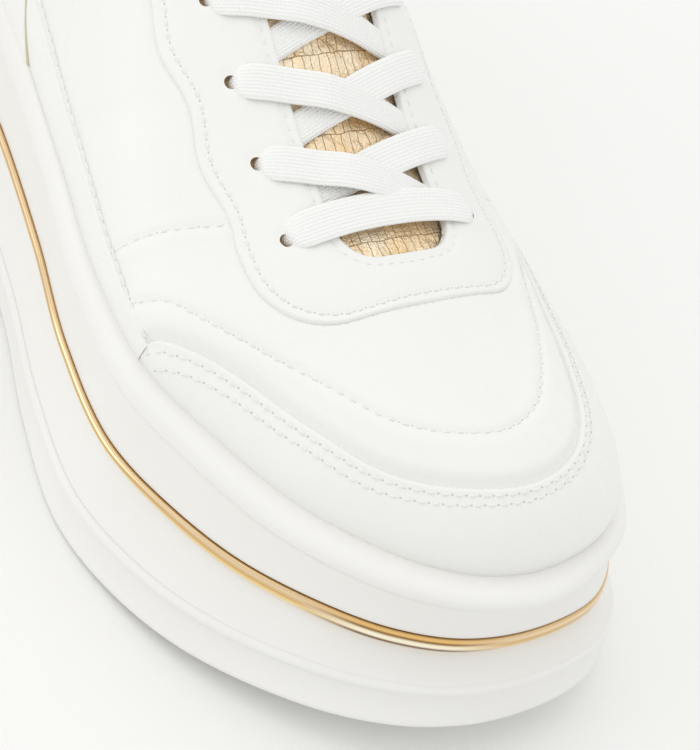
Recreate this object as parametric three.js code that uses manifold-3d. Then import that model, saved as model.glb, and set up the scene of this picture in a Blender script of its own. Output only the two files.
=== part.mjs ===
// Platform sneaker, right shoe: cup sole with a trim strip, lasted upper, overlays, tongue and laces.
// Millimetres. +X points to the toe, +Z up, -Y to the outer side of the foot.

import * as THREE from 'three';
import { mergeVertices } from 'three/addons/utils/BufferGeometryUtils.js';
import Module from 'manifold-3d';

const wasm = await Module();
wasm.setup();

// ---------------------------------------------------------------- driving dimensions

const LENGTH = 276;
const RING_POINTS = 60;
const GAP = 0.3;

// Sole outline: distance from the heel as a share of the length, half widths to each side of the axis.
const OUTLINE = [
  { along: 0.02, outer: 15, inner: 15 },
  { along: 0.06, outer: 27, inner: 27 },
  { along: 0.12, outer: 34.5, inner: 33.5 },
  { along: 0.19, outer: 37.5, inner: 35.5 },
  { along: 0.28, outer: 39, inner: 34.5 },
  { along: 0.38, outer: 39.5, inner: 33 },
  { along: 0.48, outer: 41.6, inner: 34 },
  { along: 0.58, outer: 46.3, inner: 38.5 },
  { along: 0.67, outer: 52.4, inner: 43.7 },
  { along: 0.75, outer: 54.6, inner: 48.3 },
  { along: 0.82, outer: 50, inner: 49.9 },
  { along: 0.88, outer: 43.2, inner: 48.2 },
  { along: 0.93, outer: 33.3, inner: 44 },
  { along: 0.965, outer: 23, inner: 36.9 },
  { along: 0.99, outer: 10.3, inner: 25.6 },
];
const TIP_SHIFT = 5.7;

// Toe spring lifts the whole shoe in front of the ball; the wedge lifts the upper layers to the heel.
const SPRING = { start: 205, lift: 11 };
const WEDGE = { slope: 0.12, easeFrom: 120, ease: 0.00025 };
const FLARE = { start: 140, end: 262 };
const BALL = { x: 226, width: 22 };
const INNER_TOE = { from: 225, to: 262, low: 0, high: 30 };

// Levels of the sole wall: height at the toe, shares of the toe spring and of the wedge, inset from the
// outline at the side and at the toe, swell at the outer ball and extra inset at the inner toe.
const FLOOR = { z: 0, spring: 0.85, wedge: 0, side: 1.6, toe: -2.2, ball: 2.7, inner: -0.9 };
const BEAD = { z: 8.3, spring: 1, wedge: 0, side: 0.2, toe: -0.4, ball: 2.3, inner: -0.6 };
const STRIP = { z: 18, spring: 1, wedge: 0.5, side: 0.5, toe: 4.6, ball: 0.4, inner: -0.2 };
const GROOVE = { z: 28, spring: 1, wedge: 0.88, side: -1.6, toe: 5.1, ball: -1, inner: 3.4 };
const FEATHER = { z: 30.9, spring: 1, wedge: 1, side: -0.1, toe: 10.6, ball: -0.9, inner: 1.1 };

const OUTSOLE_TOP = 1.4;
const ARCH = { from: 88, to: 140, lift: 1.6 };
const HEEL_BEVEL = { length: 12, lift: 2 };
const LUG = { pitch: 13, width: 4, depth: 2, margin: 9 };
const LUG_ZONES = [
  { from: 22, to: 82 },
  { from: 148, to: 204 },
];
const STRIP_SIZE = { height: 3.2, depth: 2.6, proud: 1.2 };
const INSOLE_THICKNESS = 4;

// Upper: the line along its top, from the ankle to the toe box. Over the ankle it is only the line to
// which the sides lean, because the collar is cut below it.
const RIDGE = [
  { x: 45, y: 0, z: 170 },
  { x: 80, y: 0, z: 156 },
  { x: 105, y: 0.5, z: 119 },
  { x: 125, y: 0.8, z: 101 },
  { x: 139, y: 0.8, z: 93 },
  { x: 153, y: 0.8, z: 85.5 },
  { x: 167, y: 0.7, z: 78 },
  { x: 181, y: 0.6, z: 71 },
  { x: 196, y: 0.6, z: 65.5 },
  { x: 210, y: 1, z: 62.5 },
  { x: 225, y: 2, z: 60.5 },
  { x: 238, y: 3.2, z: 59 },
];
const RIDGE_FRONT = { from: 190, end: 238 };
const RIDGE_BACK = { from: 90, end: 58 };
const FULLNESS = { vamp: 2.25, ankle: 0.6, toe: 0.25 };
const UPPER_STEPS = [0, 0.12, 0.27, 0.43, 0.6, 0.76, 0.9, 0.965];
const WALL = 2;
const OVERLAY = { start: GAP, end: 1.5, foot: 0.07 };

// Side line of the collar, heel to eyestay.
const COLLAR = [
  { x: -15, z: 120 },
  { x: 5, z: 118 },
  { x: 25, z: 110 },
  { x: 48, z: 101 },
  { x: 70, z: 97.5 },
  { x: 90, z: 99 },
  { x: 103, z: 103.5 },
  { x: 110, z: 110 },
  { x: 114, z: 122 },
];

const THROAT = { front: 205.9, halfWidth: 12.4, centre: -0.6, corner: 7, back: 60 };
const EYESTAY = { front: 218, halfWidth: 31.5, centre: -0.9, corner: 15, back: 97, backHalf: 29.5 };
const EYELET = { rows: 6, firstX: 199, pitch: 14.7, half: 22.4, widen: 0.45, centre: -1.2, radius: 2 };

// Top edge of the toe guard in plan, from the outer feather line round the toe to the inner one.
const TOE_GUARD = [
  { x: 199, y: -58 },
  { x: 202, y: -49 },
  { x: 208, y: -44.5 },
  { x: 218, y: -38.4 },
  { x: 231, y: -31.6 },
  { x: 243, y: -23.6 },
  { x: 251, y: -13.5 },
  { x: 255.3, y: 0 },
  { x: 252.6, y: 12 },
  { x: 245, y: 19.8 },
  { x: 231, y: 26 },
  { x: 214, y: 30.5 },
  { x: 199, y: 36 },
  { x: 190, y: 44 },
  { x: 188, y: 54 },
];

// The tongue follows the last up to x = leaves; above it runs on straight, flatter and round at its end.
const TONGUE = { front: 216, back: 94, leaves: 113, halfFront: 17, halfBack: 28, drop: 3 };
const TONGUE_TOP = { flatter: 0.5, over: 16, round: 7 };
const TONGUE_THICK = { front: 2.6, back: 4.6 };
const TONGUE_STATIONS = 15;
const LACE = { width: 7.6, thickness: 1.6, above: 0.5, sink: -0.4 };
// A crossing lace starts near the middle of the throat and stops short of its eyelet.
const LACE_RUN = { startHalf: 8.2, startBack: 5, endShort: 1.2 };

// ---------------------------------------------------------------- small helpers

const clamp01 = (value) => Math.min(1, Math.max(0, value));

function smooth(value, from, to) {
  const t = clamp01((value - from) / (to - from));
  return t * t * (3 - 2 * t);
}

// Cubic Hermite reading of one column of a table, with the slope at each row from its neighbours.
function readTable(rows, column, x) {
  const last = rows.length - 1;
  const at = Math.min(Math.max(x, rows[0].x), rows[last].x);
  let k = 0;
  while (k < last - 1 && at > rows[k + 1].x) {
    k += 1;
  }
  const slope = (i) => {
    const before = rows[Math.max(i - 1, 0)];
    const after = rows[Math.min(i + 1, last)];
    return (after[column] - before[column]) / (after.x - before.x);
  };
  const span = rows[k + 1].x - rows[k].x;
  const t = (at - rows[k].x) / span;
  const h00 = (1 + 2 * t) * (1 - t) ** 2;
  const h10 = t * (1 - t) ** 2;
  const h01 = t * t * (3 - 2 * t);
  const h11 = t * t * (t - 1);
  const values = h00 * rows[k][column] + h01 * rows[k + 1][column];
  return values + span * (h10 * slope(k) + h11 * slope(k + 1));
}

// A closed mesh turned to face outwards.
function closedGeometry(points, triangles) {
  let volume = 0;
  for (const [a, b, c] of triangles) {
    volume += points[a].dot(new THREE.Vector3().crossVectors(points[b], points[c]));
  }
  const order = volume < 0 ? [0, 2, 1] : [0, 1, 2];
  const geometry = new THREE.BufferGeometry();
  const flat = points.flatMap((p) => [p.x, p.y, p.z]);
  geometry.setAttribute('position', new THREE.Float32BufferAttribute(flat, 3));
  geometry.setIndex(triangles.flatMap((triangle) => order.map((k) => triangle[k])));
  return geometry;
}

function ringTriangles(rings, closed) {
  const n = rings[0].length;
  const triangles = [];
  const count = closed ? rings.length : rings.length - 1;
  for (let k = 0; k < count; k += 1) {
    const low = k * n;
    const high = ((k + 1) % rings.length) * n;
    for (let i = 0; i < n; i += 1) {
      const j = (i + 1) % n;
      triangles.push([low + i, low + j, high + j], [low + i, high + j, high + i]);
    }
  }
  return triangles;
}

// Rings stacked upwards; each end is closed by strips from one side of the ring to the other.
function stackGeometry(rings) {
  const n = rings[0].length;
  const triangles = ringTriangles(rings, false);
  const top = (rings.length - 1) * n;
  for (let i = 0; i < n / 2; i += 1) {
    const other = (n - i) % n;
    const next = n - i - 1;
    if (i > 0) {
      triangles.push([i, other, next], [top + i, top + next, top + other]);
    }
    if (i + 1 < n / 2) {
      triangles.push([i, next, i + 1], [top + i, top + i + 1, top + next]);
    }
  }
  return closedGeometry(rings.flat(), triangles);
}

const bandGeometry = (rings) => closedGeometry(rings.flat(), ringTriangles(rings, true));

function toManifold(geometry) {
  const bare = geometry.clone();
  bare.deleteAttribute('normal');
  bare.deleteAttribute('uv');
  const merged = mergeVertices(bare, 1e-4);
  return new wasm.Manifold(new wasm.Mesh({
    numProp: 3,
    vertProperties: Float32Array.from(merged.attributes.position.array),
    triVerts: Uint32Array.from(merged.index.array),
  }));
}

function fromManifold(solid) {
  const mesh = solid.getMesh();
  const geometry = new THREE.BufferGeometry();
  geometry.setAttribute('position', new THREE.BufferAttribute(Float32Array.from(mesh.vertProperties), 3));
  geometry.setIndex(new THREE.BufferAttribute(Uint32Array.from(mesh.triVerts), 1));
  return geometry;
}

// ---------------------------------------------------------------- last and sole shape

function makeOutline() {
  const outer = OUTLINE.map((row) => new THREE.Vector3(row.along * LENGTH, -row.outer, 0));
  const inner = OUTLINE.map((row) => new THREE.Vector3(row.along * LENGTH, row.inner, 0)).reverse();
  const heel = new THREE.Vector3(0, 0, 0);
  const tip = new THREE.Vector3(LENGTH, TIP_SHIFT, 0);
  const curve = new THREE.CatmullRomCurve3([heel, ...outer, tip, ...inner], true, 'centripetal');
  curve.arcLengthDivisions = 1600;
  const points = curve.getSpacedPoints(RING_POINTS).slice(0, RING_POINTS);
  return points.map((point, i) => {
    const before = points[(i + RING_POINTS - 1) % RING_POINTS];
    const after = points[(i + 1) % RING_POINTS];
    const normal = new THREE.Vector3(after.y - before.y, before.x - after.x, 0).normalize();
    return { point, normal };
  });
}

const outline = makeOutline();

function lift(x, wedgeShare, springShare = 1) {
  const spring = SPRING.lift * clamp01((x - SPRING.start) / (LENGTH - SPRING.start)) ** 2;
  const back = LENGTH - x;
  const wedge = WEDGE.slope * back - WEDGE.ease * Math.max(0, back - WEDGE.easeFrom) ** 2;
  return springShare * spring + wedgeShare * wedge;
}

// How far a level lies inside the outline at one of its points.
function insetAt(level, point) {
  const flare = smooth(point.x, FLARE.start, FLARE.end);
  const ball = point.y < 0 ? Math.exp(-(((point.x - BALL.x) / BALL.width) ** 2)) : 0;
  const innerSide = smooth(point.y, INNER_TOE.low, INNER_TOE.high);
  const innerToe = smooth(point.x, INNER_TOE.from, INNER_TOE.to) * innerSide;
  return level.side + (level.toe - level.side) * flare - level.ball * ball + level.inner * innerToe;
}

// A level part of the way from one level to another.
function mixLevels(low, high, share) {
  const level = {};
  for (const key of Object.keys(low)) {
    level[key] = low[key] + (high[key] - low[key]) * share;
  }
  return level;
}

// One closed ring of the sole wall at a level, moved in and up by the given amounts.
function levelRing(level, inward = 0, up = 0) {
  return outline.map(({ point, normal }) => {
    const inset = insetAt(level, point) + inward;
    const x = point.x - normal.x * inset;
    const y = point.y - normal.y * inset;
    return new THREE.Vector3(x, y, level.z + lift(x, level.wedge, level.spring) + up);
  });
}

// ---------------------------------------------------------------- sole pieces

function treadHeight(x) {
  const arch = ARCH.lift * smooth(x, ARCH.from, ARCH.from + 16) * (1 - smooth(x, ARCH.to - 16, ARCH.to));
  const bevel = HEEL_BEVEL.lift * clamp01((HEEL_BEVEL.length - x) / HEEL_BEVEL.length) ** 2;
  return arch + bevel;
}

function makeOutsole() {
  const bottom = levelRing(FLOOR, 1.2).map((p) => p.setZ(p.z + treadHeight(p.x)));
  const edge = levelRing(FLOOR, 0, 1.3).map((p) => p.setZ(p.z + treadHeight(p.x)));
  const rings = [
    bottom,
    edge,
    levelRing(BEAD, 1, -1.4),
    levelRing(BEAD, 0, -0.3),
    levelRing(BEAD, 0.3, 0.8),
    levelRing(BEAD, 1.3, OUTSOLE_TOP),
  ];
  let solid = toManifold(stackGeometry(rings));
  const halfWidthAt = (x, side) => {
    const reach = outline.filter(({ point }) => Math.abs(point.x - x) < LUG.pitch && point.y * side > 0);
    return Math.min(...reach.map(({ point }) => Math.abs(point.y))) - LUG.margin;
  };
  for (const zone of LUG_ZONES) {
    for (let x = zone.from; x <= zone.to; x += LUG.pitch) {
      const low = -halfWidthAt(x, -1);
      const high = halfWidthAt(x, 1);
      const groove = new THREE.BoxGeometry(LUG.width, high - low, LUG.depth * 2);
      groove.translate(x, (low + high) / 2, 0);
      solid = solid.subtract(toManifold(groove));
    }
  }
  return fromManifold(solid);
}

const stripWall = STRIP_SIZE.proud;
const channelHalf = STRIP_SIZE.height / 2 + GAP;
const channelDeep = STRIP_SIZE.depth + GAP;

function makeMidsole() {
  return stackGeometry([
    levelRing(BEAD, 1.4, OUTSOLE_TOP + GAP),
    levelRing(BEAD, 1.1, OUTSOLE_TOP + GAP + 0.6),
    levelRing(STRIP, stripWall, -channelHalf),
    levelRing(STRIP, channelDeep, -channelHalf),
    levelRing(STRIP, channelDeep, channelHalf),
    levelRing(STRIP, stripWall, channelHalf),
    levelRing(GROOVE, 0.7, -0.8),
    levelRing(GROOVE, 1.3, 0),
  ]);
}

function makeTrimStrip() {
  const half = STRIP_SIZE.height / 2;
  const round = [-90, -45, 0, 45, 90].map((degrees) => {
    const angle = THREE.MathUtils.degToRad(degrees);
    const outward = STRIP_SIZE.proud * (1 - Math.cos(angle));
    return levelRing(STRIP, outward, half * Math.sin(angle));
  });
  return bandGeometry([
    levelRing(STRIP, STRIP_SIZE.depth, -half),
    ...round,
    levelRing(STRIP, STRIP_SIZE.depth, half),
  ]);
}

// The rounded lip of the cup sole: from the groove it swells out, then rolls in to the feather line.
function makeSoleLip() {
  const mix = (share) => ({ ...mixLevels(GROOVE, FEATHER, share), z: GROOVE.z, wedge: GROOVE.wedge });
  const rise = (share, above) => levelRing(mix(share), above.inward, above.up);
  const lipHeight = (x) => FEATHER.z - GROOVE.z + lift(x, FEATHER.wedge) - lift(x, GROOVE.wedge);
  const lifted = (ring, share, extra) => ring.map((p) => p.setZ(p.z + share * lipHeight(p.x) + extra));
  return bandGeometry([
    rise(1, { inward: -GAP, up: GAP }),
    rise(0, { inward: 0.4, up: GAP }),
    lifted(rise(0, { inward: -0.6, up: 0 }), 0.35, 0),
    lifted(rise(0, { inward: -0.3, up: 0 }), 0.75, 0.2),
    lifted(rise(0.35, { inward: 0, up: 0 }), 1, 0.7),
    lifted(rise(0.75, { inward: 0, up: 0 }), 1, 0.6),
    lifted(rise(1, { inward: -GAP, up: 0 }), 1, -0.1),
  ]);
}

function makeInsole() {
  const inward = WALL + 2 * GAP;
  const inside = { ...FEATHER, z: GROOVE.z, wedge: GROOVE.wedge };
  return stackGeometry([
    levelRing(inside, inward + 0.5, GAP),
    levelRing(inside, inward, GAP + 0.5),
    levelRing(inside, inward, GAP + INSOLE_THICKNESS - 0.8),
    levelRing(inside, inward + 1.2, GAP + INSOLE_THICKNESS),
  ]);
}

// ---------------------------------------------------------------- upper

const featherRing = levelRing(FEATHER);
const featherFront = Math.max(...featherRing.map((p) => p.x));

// Where the section that starts at the feather line at x lands on the ridge.
function landing(x) {
  const ease = (s, k) => s - (1 - k) * s * s * (2 - s);
  if (x > RIDGE_FRONT.from) {
    const span = featherFront - RIDGE_FRONT.from;
    const share = (x - RIDGE_FRONT.from) / span;
    return RIDGE_FRONT.from + span * ease(share, (RIDGE_FRONT.end - RIDGE_FRONT.from) / span);
  }
  if (x < RIDGE_BACK.from) {
    const span = RIDGE_BACK.from;
    return span - span * ease(clamp01((span - x) / span), (span - RIDGE_BACK.end) / span);
  }
  return x;
}

// A point of the lasted surface: a quarter superellipse from a feather point (step 0) to the ridge (1).
function lastedPoint(foot, step) {
  const x = landing(foot.x);
  const target = new THREE.Vector3(x, readTable(RIDGE, 'y', x), readTable(RIDGE, 'z', x));
  const fullness = FULLNESS.vamp + FULLNESS.ankle * (1 - smooth(foot.x, 60, 140))
    + FULLNESS.toe * smooth(foot.x, 215, 260);
  const angle = step * Math.PI / 2;
  const inward = 1 - Math.cos(angle) ** (2 / fullness);
  return new THREE.Vector3(
    foot.x + (target.x - foot.x) * inward,
    foot.y + (target.y - foot.y) * inward,
    foot.z + (target.z - foot.z) * Math.sin(angle),
  );
}

// Rings of the lasted surface moved outwards along its normals.
function lastedRings(steps, outward) {
  const nudge = 0.02;
  return steps.map((step) => featherRing.map((foot, i) => {
    const here = lastedPoint(foot, step);
    const before = lastedPoint(featherRing[(i + RING_POINTS - 1) % RING_POINTS], step);
    const after = lastedPoint(featherRing[(i + 1) % RING_POINTS], step);
    const above = lastedPoint(foot, Math.min(step + nudge, 0.999));
    const around = after.sub(before);
    const upwards = above.sub(here);
    const normal = new THREE.Vector3().crossVectors(around, upwards).normalize();
    if (step === 0) {
      normal.setZ(0).normalize();
    }
    return here.addScaledVector(normal, outward);
  }));
}

// A filled form of the upper, with a straight skirt below the feather line.
function lastedForm(outward, skirtUp, steps = UPPER_STEPS) {
  const rings = lastedRings(steps, outward);
  if (skirtUp !== null) {
    const skirtHeight = (x) => GROOVE.z + lift(x, GROOVE.wedge) + skirtUp;
    const skirt = rings[0].map((p) => new THREE.Vector3(p.x, p.y, skirtHeight(p.x)));
    rings.unshift(skirt);
  }
  return toManifold(stackGeometry(rings));
}

function planPrism(shape, low, high) {
  const settings = { depth: high - low, bevelEnabled: false, curveSegments: 5 };
  const geometry = new THREE.ExtrudeGeometry(shape, settings);
  geometry.translate(0, 0, low);
  return toManifold(geometry);
}

// A tongue-shaped slot in plan: long sides and a round or round-cornered front.
function slotShape({ front, halfWidth, centre, corner, back, backHalf }) {
  const radius = corner ?? halfWidth;
  const half = backHalf ?? halfWidth;
  const shape = new THREE.Shape();
  shape.moveTo(back, centre - half);
  shape.lineTo(front - radius, centre - halfWidth);
  shape.absarc(front - radius, centre - halfWidth + radius, radius, -Math.PI / 2, 0, false);
  shape.absarc(front - radius, centre + halfWidth - radius, radius, 0, Math.PI / 2, false);
  shape.lineTo(back, centre + half);
  return shape;
}

function collarCutter() {
  const curve = new THREE.SplineCurve(COLLAR.map((row) => new THREE.Vector2(row.x, row.z)));
  const shape = new THREE.Shape(curve.getPoints(20));
  shape.lineTo(COLLAR.at(-1).x, 200);
  shape.lineTo(COLLAR[0].x, 200);
  const geometry = new THREE.ExtrudeGeometry(shape, { depth: 120, bevelEnabled: false });
  geometry.translate(0, 0, -60);
  geometry.rotateX(Math.PI / 2);
  return toManifold(geometry);
}

function halfWidthTo(x, side) {
  let best = outline[0];
  for (const row of outline) {
    if (row.point.y * side >= 0 && Math.abs(row.point.x - x) < Math.abs(best.point.x - x)) {
      best = row;
    }
  }
  return Math.abs(best.point.y) - insetAt(FEATHER, best.point);
}

// Height of the lasted surface over a plan point, from its cross-section at x.
function lastedHeight(x, y) {
  const base = FEATHER.z + lift(x, FEATHER.wedge);
  const centre = readTable(RIDGE, 'y', x);
  const side = y < centre ? -1 : 1;
  const reach = halfWidthTo(x, side) - side * centre;
  const fullness = FULLNESS.vamp + FULLNESS.ankle * (1 - smooth(x, 60, 140));
  const share = Math.min(0.99, Math.abs(y - centre) / reach);
  return base + (readTable(RIDGE, 'z', x) - base) * Math.sqrt(1 - share ** fullness);
}

function eyeletPlace(row, side) {
  const x = EYELET.firstX - row * EYELET.pitch;
  const half = EYELET.half + row * EYELET.widen;
  const y = EYELET.centre + (row * -EYELET.centre) / EYELET.rows + side * half;
  return new THREE.Vector3(x, y, lastedHeight(x, y));
}

function surfaceNormal(x, y) {
  const step = 2;
  const along = (lastedHeight(x + step, y) - lastedHeight(x - step, y)) / (2 * step);
  const across = (lastedHeight(x, y + step) - lastedHeight(x, y - step)) / (2 * step);
  return new THREE.Vector3(-along, -across, 1).normalize();
}

function eyeletPunches() {
  let punches = null;
  for (let row = 0; row < EYELET.rows; row += 1) {
    for (const side of [-1, 1]) {
      const place = eyeletPlace(row, side);
      const punch = new THREE.CylinderGeometry(EYELET.radius, EYELET.radius, 16, 8);
      punch.rotateX(Math.PI / 2);
      const turn = new THREE.Quaternion();
      turn.setFromUnitVectors(new THREE.Vector3(0, 0, 1), surfaceNormal(place.x, place.y));
      punch.applyQuaternion(turn);
      punch.translate(place.x, place.y, place.z);
      const solid = toManifold(punch);
      punches = punches ? punches.add(solid) : solid;
    }
  }
  return punches;
}

const throatCutter = planPrism(slotShape(THROAT), 20, 220);
const collarCut = collarCutter();
const eyelets = eyeletPunches();

function makeUpper() {
  const outside = lastedForm(0, GAP);
  const inside = lastedForm(-WALL, -8);
  return fromManifold(outside.subtract(inside).subtract(throatCutter).subtract(collarCut).subtract(eyelets));
}

function overlayShell() {
  const steps = [OVERLAY.foot, ...UPPER_STEPS.slice(1)];
  return lastedForm(OVERLAY.end, null, steps).subtract(lastedForm(OVERLAY.start, -8));
}

const shell = overlayShell();

function makeEyestay() {
  const shield = planPrism(slotShape(EYESTAY), 20, 220);
  return fromManifold(shell.intersect(shield).subtract(throatCutter).subtract(collarCut).subtract(eyelets));
}

function makeToeGuard() {
  const edge = new THREE.SplineCurve(TOE_GUARD.map((row) => new THREE.Vector2(row.x, row.y)));
  const shape = new THREE.Shape(edge.getPoints(40));
  shape.lineTo(LENGTH + 20, 70);
  shape.lineTo(LENGTH + 20, -70);
  return fromManifold(shell.intersect(planPrism(shape, 20, 220)));
}

// ---------------------------------------------------------------- tongue and laces

// Rings of a bar, closed at both ends by strips between the two long sides of each end ring.
function barGeometry(rings) {
  const n = rings[0].length;
  const triangles = ringTriangles(rings, false);
  const last = (rings.length - 1) * n;
  for (let i = 0; i < n / 2 - 1; i += 1) {
    const a = i;
    const b = i + 1;
    const c = n - 2 - i;
    const d = n - 1 - i;
    triangles.push([a, c, b], [a, d, c], [last + a, last + b, last + c], [last + a, last + c, last + d]);
  }
  return closedGeometry(rings.flat(), triangles);
}

function tongueHeight(x, y) {
  if (x >= TONGUE.leaves) {
    return lastedHeight(x, y);
  }
  const centre = readTable(RIDGE, 'y', TONGUE.leaves);
  const crest = lastedHeight(TONGUE.leaves, centre);
  const slope = (crest - lastedHeight(TONGUE.leaves + 4, centre)) / 4;
  const sag = crest - lastedHeight(TONGUE.leaves, y);
  const beyond = TONGUE.leaves - x;
  return crest + slope * beyond - sag * (1 - TONGUE_TOP.flatter * clamp01(beyond / TONGUE_TOP.over));
}

function makeTongue() {
  const across = [-1, -0.8, -0.5, -0.2, 0.2, 0.5, 0.8, 1];
  const rings = [];
  for (let k = 0; k < TONGUE_STATIONS; k += 1) {
    const share = k / (TONGUE_STATIONS - 1);
    const x = TONGUE.front + (TONGUE.back - TONGUE.front) * share;
    const half = TONGUE.halfFront + (TONGUE.halfBack - TONGUE.halfFront) * smooth(share, 0, 1);
    const thick = TONGUE_THICK.front + (TONGUE_THICK.back - TONGUE_THICK.front) * smooth(share, 0.3, 0.8);
    const centre = readTable(RIDGE, 'y', x);
    const normal = surfaceNormal(Math.max(x, TONGUE.leaves), centre).setY(0).normalize();
    const rounded = TONGUE_TOP.round * smooth(x, TONGUE.back + 20, TONGUE.back);
    const place = (s, depth) => {
      const y = centre + s * half;
      const at = x + rounded * s ** 4;
      return new THREE.Vector3(at, y, tongueHeight(at, y)).addScaledVector(normal, -depth);
    };
    const thin = (s) => 1 - 0.55 * Math.abs(s) ** 3;
    const top = across.map((s) => place(s, TONGUE.drop));
    const under = across.map((s) => place(s, TONGUE.drop + thick * thin(s))).reverse();
    rings.push([...top, ...under]);
  }
  const inside = lastedForm(-WALL - GAP - 0.1, -8);
  const free = collarCut.translate([-GAP, 0, GAP]);
  return fromManifold(toManifold(barGeometry(rings)).intersect(inside.add(free)));
}

// A flat lace over a plan line from `from` to `to`; `height` gives its lift above the surface.
function laceRibbon(from, to, height, stations = 9) {
  const direction = new THREE.Vector2(to.x - from.x, to.y - from.y).normalize();
  const rings = [];
  for (let k = 0; k < stations; k += 1) {
    const share = k / (stations - 1);
    const x = from.x + (to.x - from.x) * share;
    const y = from.y + (to.y - from.y) * share;
    const normal = surfaceNormal(x, y);
    const along = new THREE.Vector3(direction.x, direction.y, 0);
    along.addScaledVector(normal, -along.dot(normal)).normalize();
    const side = new THREE.Vector3().crossVectors(normal, along);
    const centre = new THREE.Vector3(x, y, lastedHeight(x, y)).addScaledVector(normal, height(share));
    const corner = (across, up) => centre.clone()
      .addScaledVector(side, across * LACE.width / 2)
      .addScaledVector(normal, up * LACE.thickness / 2);
    rings.push([corner(-1, 1), corner(1, 1), corner(1, -1), corner(-1, -1)]);
  }
  return barGeometry(rings);
}

const laceHeight = OVERLAY.end + GAP + LACE.thickness / 2 + LACE.above;

function makeLaceBar() {
  const ends = [-1, 1].map((side) => {
    const place = eyeletPlace(0, side);
    return { x: place.x + 0.8, y: place.y - side * LACE_RUN.endShort };
  });
  return laceRibbon(ends[0], ends[1], () => laceHeight, 11);
}

function makeLaceCrossing(row) {
  let crossing = null;
  for (const side of [-1, 1]) {
    const low = eyeletPlace(row, -side);
    const high = eyeletPlace(row + 1, side);
    const from = { x: low.x - LACE_RUN.startBack, y: THROAT.centre - side * LACE_RUN.startHalf };
    const to = { x: high.x, y: high.y - side * LACE_RUN.endShort };
    const height = (share) => LACE.sink + (laceHeight - LACE.sink) * smooth(share, 0, 0.5);
    const ribbon = toManifold(laceRibbon(from, to, height, 13));
    crossing = crossing ? crossing.add(ribbon) : ribbon;
  }
  return fromManifold(crossing);
}

// ---------------------------------------------------------------- assembly

const WHITE_RUBBER = { color: 0xecebe6, roughness: 0.55, metalness: 0 };
const WHITE_LEATHER = { color: 0xf0f1ec, roughness: 0.45, metalness: 0 };
const GOLD = { color: 0xd8a860, roughness: 0.18, metalness: 1 };
const GOLD_LEATHER = { color: 0xcfa468, roughness: 0.35, metalness: 0.8 };
const COTTON = { color: 0xf4f4f0, roughness: 0.9, metalness: 0 };
const LINING = { color: 0xe9e6df, roughness: 0.9, metalness: 0 };

const shoe = new THREE.Group();

function addPiece(name, geometry, look) {
  const piece = new THREE.Mesh(geometry, new THREE.MeshStandardMaterial(look));
  piece.name = name;
  shoe.add(piece);
}

addPiece('outsole', makeOutsole(), WHITE_RUBBER);
addPiece('midsole', makeMidsole(), WHITE_RUBBER);
addPiece('trim_strip', makeTrimStrip(), GOLD);
addPiece('sole_lip', makeSoleLip(), WHITE_RUBBER);
addPiece('insole', makeInsole(), LINING);
addPiece('upper', makeUpper(), WHITE_LEATHER);
addPiece('eyestay', makeEyestay(), WHITE_LEATHER);
addPiece('toe_guard', makeToeGuard(), WHITE_LEATHER);
addPiece('tongue', makeTongue(), GOLD_LEATHER);
addPiece('lace_bar', makeLaceBar(), COTTON);
for (let row = 0; row + 1 < EYELET.rows; row += 1) {
  addPiece(`lace_crossing_${row + 1}`, makeLaceCrossing(row), COTTON);
}

// The origin is the middle of the footprint, on the floor.
const box = new THREE.Box3().setFromObject(shoe);
const middle = box.getCenter(new THREE.Vector3());
shoe.position.set(-middle.x, -middle.y, -box.min.z);

export default shoe;
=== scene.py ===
"""Platform sneaker, right shoe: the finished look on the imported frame.

Places are in millimetres on the shoemaker's plan: heel at x = 0, toe at x = 276, floor at z = 0,
outer side of the foot at -y. to_frame() takes them to the frame, in metres.
"""

import math

import bmesh
import bpy
import numpy as np
from mathutils import Matrix, Vector


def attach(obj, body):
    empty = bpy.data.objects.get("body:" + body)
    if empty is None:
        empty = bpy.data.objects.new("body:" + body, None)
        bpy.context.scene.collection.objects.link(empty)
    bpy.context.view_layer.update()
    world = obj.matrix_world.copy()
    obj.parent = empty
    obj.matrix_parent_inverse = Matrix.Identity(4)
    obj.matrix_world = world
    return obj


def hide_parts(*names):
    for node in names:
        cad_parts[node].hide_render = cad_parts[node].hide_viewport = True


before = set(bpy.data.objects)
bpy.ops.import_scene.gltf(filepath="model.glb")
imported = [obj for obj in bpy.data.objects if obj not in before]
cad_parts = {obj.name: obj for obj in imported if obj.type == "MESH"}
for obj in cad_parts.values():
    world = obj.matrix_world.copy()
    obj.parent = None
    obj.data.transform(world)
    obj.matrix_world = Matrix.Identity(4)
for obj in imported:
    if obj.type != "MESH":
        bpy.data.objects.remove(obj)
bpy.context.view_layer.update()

PLAN_ORIGIN = np.array([-137.993, 2.553, 0.0])


def to_frame(points):
    """Plan millimetres to frame metres."""
    return (np.asarray(points, float) + PLAN_ORIGIN) / 1000.0


# ---------------------------------------------------------------- curves and small sums


def smooth(value, start, end):
    """0 before start, 1 after end, 3t^2 - 2t^3 between."""
    t = np.clip((np.asarray(value, float) - start) / (end - start), 0, 1)
    return t * t * (3 - 2 * t)


def bell(value, width):
    """exp(-(value / width)^2): 1 at 0, gone by about twice the width."""
    return np.exp(-((np.asarray(value, float) / width) ** 2))


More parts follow.
